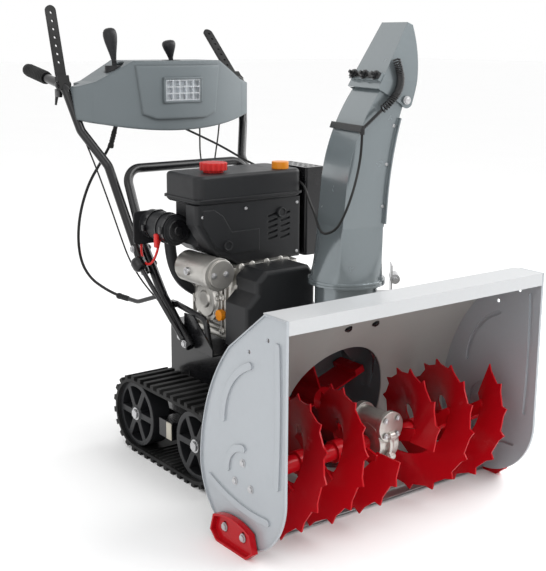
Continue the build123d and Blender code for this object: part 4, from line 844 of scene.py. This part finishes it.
LUGS = ((-0.070, 0.352), (-0.070, 0.458), (0.070, 0.352), (0.070, 0.440))
FRONT_BOLT_X = 0.110
FRONT_BOLTS = (
    (-0.098, 0.522), (-0.065, 0.525), (-0.020, 0.526), (0.024, 0.528), (0.052, 0.505),
    (-0.121, 0.432), (-0.112, 0.472), (-0.116, 0.396),
)

# Shroud, muffler guard, recoil starter and starter motor, in metres
SHROUD_RIM = 0.003
SHROUD_SCREWS = ((-0.182, 0.648), (0.112, 0.662), (0.112, 0.532), (-0.052, 0.660))
GUARD_RIM = 0.016
GUARD_SCREWS_Z = (0.540, 0.735)
RECOIL_STEP = 0.014
RECOIL_CIRCLE = 0.071
STARTER_STUDS_Y = (-0.018, 0.018)
TERMINAL_X = 0.02
TERMINAL_SEAT = 0.004
TERMINAL_RADIUS = 0.010
TERMINAL_LENGTH = 0.008

# Seam round the tank and the two plugs under it, in metres
TANK_SEAM_OUT = 0.005
TANK_SEAM_HEIGHT = 0.006
TANK_SEAM_RISE = 0.012
TANK_SEAM_WALL = 0.004
TANK_CORNER = 0.016
PLUG_PROFILE = ((0.0, 0.004), (0.009, 0.004), (0.010, 0.006), (0.013, 0.006), (0.014, 0.0))
PLUGS = ((0.003, -0.110, 0.570), (0.0, 0.060, 0.640))

# Control cylinder by the air cleaner, in metres, and its intake's bend in millimetres; a band is X and width
CONTROL_AXIS = Vector((0.0, -0.205, 0.607))
BANDS = ((-0.028, 0.008), (-0.062, 0.005), (-0.112, 0.010))
BAND_INNER = 0.0365
BAND_OUTER = 0.0405
BUCKLES = (
    ((-0.034, -0.2515, 0.600), (-0.022, -0.243, 0.618)),
    ((-0.118, -0.252, 0.596), (-0.106, -0.243, 0.612)),
)
BUCKLE_EDGE = 0.001
END_CAP_X = -0.014
END_CAP = ((0.0, 0.005), (0.010, 0.005), (0.012, 0.003), (0.026, 0.003), (0.028, 0.0))
CLEANER_BACK_X = -0.147
CLEANER_SCREWS = ((-0.250, 0.565), (-0.250, 0.636), (-0.176, 0.565), (-0.176, 0.636))
INTAKE_BEND = ((-70, -196, 572), (-82, -186, 532), (-88, -168, 482), (-84, -142, 446), (-76, -116, 430))
INTAKE_RADIUS = 15.0 * MM

# Stop key's clips, in metres, and its tether, whose route is in millimetres
CLIPS = (
    ((-0.163, -0.244, 0.562), (-0.145, -0.222, 0.600), 0.004),
    ((-0.066, -0.247, 0.560), (-0.050, -0.238, 0.596), 0.003),
)
STOP_TETHER = (
    (-154, -231, 570), (-153, -231, 556), (-146, -236, 534), (-126, -241, 514), (-100, -243, 508),
    (-76, -243, 520), (-62, -240, 544), (-58, -236, 566), (-58, -232, 580),
)
TETHER_DIAMETER = 6.4 * MM

# Grip of the recoil's pull cord, in metres from the starter's rear middle
PULL_PLACE = Vector((-0.006, -0.072, 0.030))
PULL_AXIS = (0, 1, 0.2)
PULL_PROFILE = (
    (0.0, -0.034), (0.008, -0.033), (0.011, -0.024), (0.008, 0.0), (0.011, 0.024), (0.008, 0.033),
    (0.0, 0.034),
)
PULL_STEM_RADIUS = 0.008
PULL_STEM_LENGTH = 0.026


class SNOW_OT_engine_trim(bpy.types.Operator):
    """Covers, ribs, bands, screws, stop tether and pull grip of the engine"""

    bl_idname = "snow.engine_trim"
    bl_label = "Engine trim"

    def execute(self, context):
        sizes = context.scene.snow_sizes
        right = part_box("engine_block")[0].y + ENGINE_SETBACK
        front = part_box("engine_shroud")[1].x - SHROUD_RIM
        low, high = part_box("recoil_starter")
        recoil = Vector((low.x, (low.y + high.y) / 2, (low.z + high.z) / 2))
        self.cover(sizes, right)
        self.screws(sizes, front, recoil)
        self.terminals(sizes)
        self.tank_seam(front)
        self.ribs(sizes, right)
        self.control_bands(sizes)
        self.stop_key()
        self.pull_grip(recoil)
        return {"FINISHED"}

    def cover(self, sizes, right):
        bm = bmesh.new()
        centre = Vector((COVER_X, right, COVER_Z))
        add_lathe(bm, COVER_PROFILE, centre, (0, -1, 0), 40)
        for turn in range(12, 372, 45):
            place = centre + side_turn(COVER_CIRCLE, turn) + COVER_STEP
            add_bolt(bm, place, (0, -1, 0), LIGHT_BOLT * sizes.bolt)
        add_piece("crankcase_cover", bm, "cast_silver")

    def screws(self, sizes, front, recoil):
        bm = bmesh.new()
        for y, z in SHROUD_SCREWS:
            add_screw(bm, (front, y, z), (1, 0, 0), sizes.screw)
        guard_low, guard_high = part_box("muffler_guard")
        for x in (guard_low.x + GUARD_RIM, guard_high.x - GUARD_RIM):
            for z in GUARD_SCREWS_Z:
                add_screw(bm, (x, guard_high.y, z), (0, 1, 0), sizes.screw)
        for turn in THREE_TURNS:
            place = recoil + Vector((RECOIL_STEP, 0, 0)) + front_turn(RECOIL_CIRCLE, turn)
            add_screw(bm, place, (-1, 0, 0), sizes.screw)
        add_piece("engine_screws", bm, "steel")

    def terminals(self, sizes):
        bm = bmesh.new()
        low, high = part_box("starter_motor")
        middle = (low + high) / 2
        for y in STARTER_STUDS_Y:
            add_bolt(bm, (high.x, middle.y + y, middle.z), (1, 0, 0), LIGHT_BOLT * sizes.bolt)
        seat = Vector((TERMINAL_X, low.y + TERMINAL_SEAT, middle.z))
        end = seat - Vector((0, TERMINAL_LENGTH, 0))
        add_prism(bm, seat, (0, -1, 0), 16, TERMINAL_RADIUS, TERMINAL_LENGTH)
        add_bolt(bm, end, (0, -1, 0), SMALL_BOLT * sizes.bolt)
        add_piece("starter_terminals", bm, "steel")

    def tank_seam(self, front):
        low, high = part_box("fuel_tank")
        middle = (low + high) / 2
        size = (high.x - low.x + TANK_SEAM_OUT, high.y - low.y + TANK_SEAM_OUT, TANK_SEAM_HEIGHT)
        bm = bmesh.new()
        bmesh.ops.create_cube(bm, size=1.0)
        bmesh.ops.scale(bm, vec=size, verts=bm.verts[:])
        bmesh.ops.translate(bm, vec=(middle.x, middle.y, low.z + TANK_SEAM_RISE), verts=bm.verts[:])
        upright = [edge for edge in bm.edges if abs(edge.verts[0].co.z - edge.verts[1].co.z) > MM]
        soften(bm, upright, TANK_CORNER, 5)
        level = [face for face in bm.faces if abs(face.normal.z) > 0.9]
        bmesh.ops.delete(bm, geom=level, context="FACES_ONLY")
        bmesh.ops.recalc_face_normals(bm, faces=bm.faces[:])
        bmesh.ops.solidify(bm, geom=bm.faces[:], thickness=TANK_SEAM_WALL)
        for ahead, y, z in PLUGS:
            add_lathe(bm, PLUG_PROFILE, (front + ahead, y, z), (1, 0, 0))
        add_piece("tank_seam", bm, "engine_black")

    def ribs(self, sizes, right):
        bm = bmesh.new()
        for z in LEVEL_RIBS_Z:
            wall = Vector((0, right, z))
            add_block(bm, wall + LEVEL_RIB_LOW, wall + LEVEL_RIB_HIGH, LEVEL_RIB_EDGE)
        for x in UPRIGHT_RIBS_X:
            wall = Vector((x, right, 0))
            add_block(bm, wall + UPRIGHT_RIB_LOW, wall + UPRIGHT_RIB_HIGH, UPRIGHT_RIB_EDGE)
        for y, z in FRONT_BOLTS:
            add_bolt(bm, (FRONT_BOLT_X, y, z), (1, 0, 0), MEDIUM_BOLT * sizes.bolt)
        for x, z in LUGS:
            add_prism(bm, (x, right - LUG_DEPTH, z), (0, -1, 0), 18, LUG_RADIUS, LUG_HEIGHT)
            add_bolt(bm, (x, right - LUG_DEPTH - LUG_HEIGHT, z), (0, -1, 0), LIGHT_BOLT * sizes.bolt)
        add_piece("crankcase_ribs", bm, "cast_silver")

    def control_bands(self, sizes):
        bm = bmesh.new()
        for x, wide in BANDS:
            half = wide / 2
            band = ((BAND_INNER, -half), (BAND_OUTER, -half), (BAND_OUTER, half), (BAND_INNER, half))
            add_lathe(bm, band, CONTROL_AXIS + Vector((x, 0, 0)), (1, 0, 0), 40)
        for low, high in BUCKLES:
            add_block(bm, low, high, BUCKLE_EDGE)
        add_lathe(bm, END_CAP, CONTROL_AXIS + Vector((END_CAP_X, 0, 0)), (1, 0, 0), 36)
        for y, z in CLEANER_SCREWS:
            add_screw(bm, (CLEANER_BACK_X, y, z), (-1, 0, 0), sizes.screw)
        add_piece("control_bands", bm, "tube_black")

    def stop_key(self):
        bm = bmesh.new()
        for low, high, edge in CLIPS:
            add_block(bm, low, high, edge)
        add_piece("stop_clip", bm, "cap_red")
        bend = spline("intake_bend", [millimetres(place) for place in INTAKE_BEND], INTAKE_RADIUS)
        elbow = as_mesh(bend, "intake_elbow", "engine_black")
        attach(elbow, "chassis")
        hang_cord(
            "stop_tether", STOP_TETHER, TETHER_DIAMETER, "cap_red"
        )

    def pull_grip(self, recoil):
        bm = bmesh.new()
        grip = recoil + PULL_PLACE
        add_lathe(bm, PULL_PROFILE, grip, PULL_AXIS)
        add_prism(bm, grip, (1, 0, 0), 16, PULL_STEM_RADIUS, PULL_STEM_LENGTH)
        add_piece("pull_grip", bm, "engine_black")


# Trim of the tracks, in metres
AXLE_RADIUS = 0.0125
AXLE_WASHER = (0.004, 24, 0.017, 0.003)
AXLE_NUT = (0.002, 6, 0.013, 0.006)
TRACK_Y = 0.221
RIBS = 10
RIB_START_X = -0.060
RIB_PITCH = 0.0185
RIBS_Z = (0.0175, 0.1895)
RIB_LOW = Vector((-0.003, -0.056, -0.002))
RIB_HIGH = Vector((0.003, 0.056, 0.003))
RIB_EDGE = 0.001
PAD_Y = 0.270
PAD_LOW = Vector((0.026, -0.004, 0.082))
PAD_HIGH = Vector((0.050, 0.004, 0.127))
PAD_EDGE = 0.002


class SNOW_OT_track_trim(bpy.types.Operator):
    """Axle nuts, cross ribs and frame pads of the tracks"""

    bl_idname = "snow.track_trim"
    bl_label = "Track trim"

    def execute(self, context):
        bm = bmesh.new()
        low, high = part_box("axles")
        for side in SIDES:
            for x in (low.x + AXLE_RADIUS, high.x - AXLE_RADIUS):
                for sunk, corners, radius, height in (AXLE_WASHER, AXLE_NUT):
                    seat = Vector((x, side * (high.y - sunk), (low.z + high.z) / 2))
                    add_prism(bm, seat, (0, side, 0), corners, radius, height)
        add_piece("axle_nuts", bm, "steel")

        bm = bmesh.new()
        for side in SIDES:
            for step in range(RIBS):
                for z in RIBS_Z:
                    middle = Vector((RIB_START_X + RIB_PITCH * step, side * TRACK_Y, z))
                    add_block(bm, middle + RIB_LOW, middle + RIB_HIGH, RIB_EDGE)
        add_piece("track_ribs", bm, "track_rubber")

        bm = bmesh.new()
        for side in SIDES:
            middle = Vector((0, side * PAD_Y, 0))
            add_block(bm, middle + PAD_LOW, middle + PAD_HIGH, PAD_EDGE)
        add_piece("frame_pads", bm, "frame_beige")
        return {"FINISHED"}


# Handle bolts and lever pivots as X and Z, and the grips' middle line, in millimetres
HANDLE_JOINTS = ((-166, 495), (-196, 533))
HANDLE_OUTER_Y = 233.0
HANDLE_INNER_Y = 184.0
FOOT_JOINTS = ((-6, 334), (14, 318))
FOOT_Y = 208.0
LEVER_PIVOTS = ((-1, -448, 953), (1, -470, 957))
LEVER_HALF = 16
HOOK_LOW = Vector((-44, -5, 918))
HOOK_HIGH = Vector((-14, 5, 940))
HOOK_TIP = Vector((-40, 0, 921))
HOOK_TIP_AXIS = (-0.35, 0, -1)
GRIP_FRONT = (-440, GRIP_Y, 950)
GRIP_REAR = (-664, GRIP_Y, 986)

# Rings of a grip, in metres from its rear end
RING_PROFILE = ((0.0165, -0.0032), (0.0185, -0.0016), (0.0185, 0.0016), (0.0165, 0.0032))
RINGS_START = 0.010
RINGS_SPAN = 0.098


class SNOW_OT_handle_trim(bpy.types.Operator):
    """Handle bolts, lever pivots with their hooks, and the raised rings of the grips"""

    bl_idname = "snow.handle_trim"
    bl_label = "Handle trim"

    def execute(self, context):
        sizes = context.scene.snow_sizes
        bm = bmesh.new()
        for side in SIDES:
            for x, z in HANDLE_JOINTS:
                outer = millimetres((x, side * HANDLE_OUTER_Y, z))
                inner = millimetres((x, side * HANDLE_INNER_Y, z))
                add_bolt(bm, outer, (0, side, 0), sizes.bolt)
                add_bolt(bm, inner, (0, -side, 0), LIGHT_BOLT * sizes.bolt)
            for x, z in FOOT_JOINTS:
                add_bolt(bm, millimetres((x, side * FOOT_Y, z)), (0, side, 0), sizes.bolt)
        add_piece("handle_bolts", bm, "steel")

        bm = bmesh.new()
        for side, x, z in LEVER_PIVOTS:
            y = side * GRIP_Y
            for way in SIDES:
                add_bolt(bm, millimetres((x, y + way * LEVER_HALF, z)), (0, way, 0), sizes.bolt)
            lever = Vector((x, y, 0))
            add_block(bm, (lever + HOOK_LOW) * MM, (lever + HOOK_HIGH) * MM, 2 * MM)
            add_prism(bm, (lever + HOOK_TIP) * MM, HOOK_TIP_AXIS, 16, 5 * MM, 26 * MM, 0.6)
        add_piece("lever_pivots", bm, "tube_black")

        bm = bmesh.new()
        rear = millimetres(GRIP_REAR)
        along = (rear - millimetres(GRIP_FRONT)).normalized()
        for side in SIDES:
            end = Vector((rear.x, side * rear.y, rear.z))
            for ring in range(sizes.grip_rings):
                inward = RINGS_START + RINGS_SPAN * ring / (sizes.grip_rings - 1)
                add_lathe(bm, RING_PROFILE, end - along * inward, along, 28)
        add_piece("grip_rings", bm, "grip_rubber")
        return {"FINISHED"}


# Bezel round the headlamp, in metres
BEZEL_OUT = 0.0035
BEZEL_IN = 0.003
BEZEL_BACK = 0.006
BEZEL_FRONT = 0.002
BEZEL_EDGE = 0.0012


class SNOW_OT_panel_trim(bpy.types.Operator):
    """Lamp bezel of the dashboard"""

    bl_idname = "snow.panel_trim"
    bl_label = "Panel trim"

    def execute(self, context):
        low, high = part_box("headlamp")
        back = high.x - BEZEL_BACK
        front = high.x + BEZEL_FRONT
        left = high.y + BEZEL_OUT
        right = low.y - BEZEL_OUT
        bm = bmesh.new()
        for bar_low, bar_high in (
            ((back, right, low.z - BEZEL_OUT), (front, left, low.z + BEZEL_IN)),
            ((back, right, high.z - BEZEL_IN), (front, left, high.z + BEZEL_OUT)),
            ((back, right, low.z), (front, low.y + BEZEL_IN, high.z)),
            ((back, high.y - BEZEL_IN, low.z), (front, left, high.z)),
        ):
            add_block(bm, bar_low, bar_high, BEZEL_EDGE)
        add_piece("lamp_bezel", bm, "panel_grey")
        return {"FINISHED"}


# Joysticks: Y, bottom and top in millimetres, the knob's outline in shares, and other sizes in metres
STICK_LEAN = math.radians(9.0)
STICKS = ((-170, 1014, 1105), (10, 1020, 1073))
STICK_FOOT_Z = 850
KNOB_RADIUS = 0.019
KNOB_OUTLINE = (
    (0.0, 0.0), (0.34, 0.0), (0.38, 0.08), (0.52, 0.24), (0.72, 0.42), (0.89, 0.58), (0.98, 0.71),
    (1.0, 0.80), (0.93, 0.89), (0.74, 0.955), (0.42, 0.99), (0.0, 1.0),
)
ROD_RADIUS = 0.0065
ROD_SEAT = 0.004
FOOT_RADIUS = 0.011
FOOT_HEIGHT = 0.014
FERRULE_RADIUS = 0.006
FERRULE_LENGTH = 0.024


class SNOW_OT_joysticks(bpy.types.Operator):
    """Joysticks with smooth, leaning knobs in place of their solids"""

    bl_idname = "snow.joysticks"
    bl_label = "Joysticks"

    def execute(self, context):
        bm = bmesh.new()
        axis = Vector((0.0, -math.sin(STICK_LEAN), math.cos(STICK_LEAN)))
        for y, bottom, top in STICKS:
            length = (top - bottom) * MM
            knob = [(KNOB_RADIUS * wide, length * high) for wide, high in KNOB_OUTLINE]
            add_lathe(bm, knob, millimetres((STICK_X, y, bottom)), axis, 40)
            foot = millimetres((STICK_X, y, STICK_FOOT_Z))
            add_prism(bm, foot, (0, 0, 1), 24, ROD_RADIUS, (bottom - STICK_FOOT_Z) * MM + ROD_SEAT)
            add_prism(bm, foot, (0, 0, 1), 24, FOOT_RADIUS, FOOT_HEIGHT)
        for end, inward in (SHIFT_ROUTE[:2], DEFLECTOR_ROUTE_REAR[:-3:-1]):
            add_prism(bm, millimetres(end), Vector(end) - Vector(inward), 20, FERRULE_RADIUS, FERRULE_LENGTH)
        piece = add_piece("joystick_knobs", bm, "engine_black")
        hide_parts("joysticks")
        return {"FINISHED"}


# Service cover on the chassis and the dashboard's back, in metres
SERVICE_LOW = Vector((-0.003, -0.098, 0.100))
SERVICE_HIGH = Vector((0.001, 0.098, 0.292))
SERVICE_EDGE = 0.0012
SLATS_Z = (0.150, 0.172, 0.194, 0.216, 0.238)
SLAT_LOW = Vector((-0.0055, -0.060, -0.004))
SLAT_HIGH = Vector((-0.001, 0.060, 0.004))
SLAT_EDGE = 0.002
SERVICE_SCREWS_Y = (-0.088, 0.0, 0.088)
SERVICE_SCREWS_Z = (0.110, 0.282)
DASH_SCREWS = ((-0.240, 0.900), (-0.120, 0.856), (0.0, 0.846), (0.120, 0.856), (0.240, 0.900))
CONSOLE_LOW = Vector((-0.004, -0.110, 0.902))
CONSOLE_HIGH = Vector((0.001, 0.110, 0.984))
ROCKERS_Y = (-0.070, -0.030)
ROCKER_LOW = Vector((-0.010, -0.013, 0.928))
ROCKER_HIGH = Vector((-0.002, 0.013, 0.958))
CONSOLE_EDGE = 0.003
DIAL_PLACE = Vector((-0.004, 0.055, 0.943))
DIAL_PROFILE = ((0.0, 0.013), (0.012, 0.013), (0.015, 0.010), (0.016, 0.002), (0.022, 0.002), (0.023, 0.0))


class SNOW_OT_rear_trim(bpy.types.Operator):
    """Service cover of the chassis, and the console and screws on the dashboard's back"""

    bl_idname = "snow.rear_trim"
    bl_label = "Rear trim"

    def execute(self, context):
        screw = context.scene.snow_sizes.screw
        rear = Vector((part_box("chassis_tub")[0].x, 0, 0))
        back = Vector((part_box("dashboard")[0].x, 0, 0))
        bm = bmesh.new()
        add_block(bm, rear + SERVICE_LOW, rear + SERVICE_HIGH, SERVICE_EDGE)
        for z in SLATS_Z:
            slat = rear + Vector((0, 0, z))
            add_block(bm, slat + SLAT_LOW, slat + SLAT_HIGH, SLAT_EDGE)
        add_piece("service_cover", bm, "tube_black")

        bm = bmesh.new()
        for y in SERVICE_SCREWS_Y:
            for z in SERVICE_SCREWS_Z:
                add_screw(bm, rear + Vector((SERVICE_LOW.x, y, z)), (-1, 0, 0), screw)
        for y, z in DASH_SCREWS:
            add_screw(bm, back + Vector((0, y, z)), (-1, 0, 0), screw)
        add_piece("rear_screws", bm, "steel")

        bm = bmesh.new()
        add_block(bm, back + CONSOLE_LOW, back + CONSOLE_HIGH, CONSOLE_EDGE)
        for y in ROCKERS_Y:
            rocker = back + Vector((0, y, 0))
            add_block(bm, rocker + ROCKER_LOW, rocker + ROCKER_HIGH, CONSOLE_EDGE)
        add_lathe(bm, DIAL_PROFILE, back + DIAL_PLACE, (-1, 0, 0), 32)
        add_piece("rear_console", bm, "engine_black")
        return {"FINISHED"}


# Half the floor's side and where the lights aim, in metres, and the camera's film in millimetres
FLOOR_HALF = 40.0
LIGHT_TARGET = Vector((0.1, 0.0, 0.5))
FILM_WIDTH = 36.0


class SNOW_OT_stage(bpy.types.Operator):
    """Pale floor, soft lights and the camera"""

    bl_idname = "snow.stage"
    bl_label = "Stage"

    def execute(self, context):
        stage = context.scene.snow_stage
        self.floor()
        self.lights(context, stage)
        self.camera(context, stage)
        context.scene.view_settings.view_transform = "Standard"
        return {"FINISHED"}

    def floor(self):
        made = Finish("studio_floor", (0.9, 0.9, 0.9), {"Specular IOR Level": 0.2})
        made.feed("Base Color", made.tint(made.noise(1.5), (0.97, 0.97, 0.97, 1.0), (0.99, 0.99, 0.99, 1.0)))
        made.feed("Roughness", 0.75 + made.noise(4.0) * 0.1)
        bm = bmesh.new()
        bmesh.ops.create_grid(bm, x_segments=1, y_segments=1, size=FLOOR_HALF)
        mesh = bpy.data.meshes.new("floor")
        bm.to_mesh(mesh)
        bm.free()
        mesh.materials.append(made.material)
        floor = add_object("floor", mesh)

    def lights(self, context, stage):
        world = bpy.data.worlds.new("studio_room")
        world.use_nodes = True
        backdrop = world.node_tree.nodes["Background"]
        backdrop.inputs["Color"].default_value = (1.0, 1.0, 1.0, 1.0)
        backdrop.inputs["Strength"].default_value = stage.backdrop
        context.scene.world = world
        for name, place, power, size in (
            ("key_light", (2.2, 1.6, 3.0), stage.key_power, 2.2),
            ("fill_light", (1.6, -2.8, 1.8), stage.fill_power, 2.4),
            ("rim_light", (0.2, 2.9, 1.8), stage.rim_power, 1.8),
        ):
            light = bpy.data.lights.new(name, "AREA")
            light.energy = power
            light.size = size
            lamp = add_object(name, light)
            lamp.location = place
            lamp.rotation_euler = (LIGHT_TARGET - Vector(place)).to_track_quat("-Z", "Y").to_euler()

    def camera(self, context, stage):
        forward = Vector(
            (
                -math.cos(stage.yaw) * math.cos(stage.pitch),
                math.sin(stage.yaw) * math.cos(stage.pitch),
                -math.sin(stage.pitch),
            )
        )
        right = forward.cross((0, 0, 1)).normalized()
        upward = right.cross(forward)
        facing = Matrix((right, upward, -forward)).transposed().to_4x4()
        facing = facing @ Matrix.Rotation(stage.roll, 4, "Z")
        width, height = stage.picture
        long_side = max(width, height)
        lens = bpy.data.cameras.new("photo_camera")
        lens.sensor_width = FILM_WIDTH
        lens.lens = stage.focal / long_side * lens.sensor_width
        lens.shift_x = (width / 2 - stage.centre[0]) / long_side
        lens.shift_y = (stage.centre[1] - height / 2) / long_side
        camera = add_object("photo_camera", lens)
        camera.matrix_world = Matrix.Translation(stage.camera) @ facing
        context.scene.camera = camera


STEPS = (
    SNOW_OT_finishes,
    SNOW_OT_bucket_bolts,
    SNOW_OT_auger_hardware,
    SNOW_OT_chute_hardware,
    SNOW_OT_deflector_spring,
    SNOW_OT_cables,
    SNOW_OT_engine_trim,
    SNOW_OT_track_trim,
    SNOW_OT_handle_trim,
    SNOW_OT_panel_trim,
    SNOW_OT_joysticks,
    SNOW_OT_rear_trim,
    SNOW_OT_stage,
)


class SNOW_PT_sidebar(bpy.types.Panel):
    """Lists the steps that dress the snow blower"""

    bl_idname = "SNOW_PT_sidebar"
    bl_label = "Snow blower"
    bl_space_type = "VIEW_3D"
    bl_region_type = "UI"
    bl_category = "Snow blower"

    def draw(self, context):
        for step in STEPS:
            self.layout.operator(step.bl_idname)


GROUPS = ((SnowColours, "snow_colours"), (SnowSizes, "snow_sizes"), (SnowStage, "snow_stage"))


def register():
    for group, name in GROUPS:
        bpy.utils.register_class(group)
        setattr(bpy.types.Scene, name, bpy.props.PointerProperty(type=group))
    for step in STEPS:
        bpy.utils.register_class(step)
    bpy.utils.register_class(SNOW_PT_sidebar)


def unregister():
    bpy.utils.unregister_class(SNOW_PT_sidebar)
    for step in reversed(STEPS):
        bpy.utils.unregister_class(step)
    for group, name in reversed(GROUPS):
        delattr(bpy.types.Scene, name)
        bpy.utils.unregister_class(group)


def main():
    register()
    for step in STEPS:
        family, action = step.bl_idname.split(".")
        getattr(getattr(bpy.ops, family), action)()


if __name__ == "__main__":
    main()
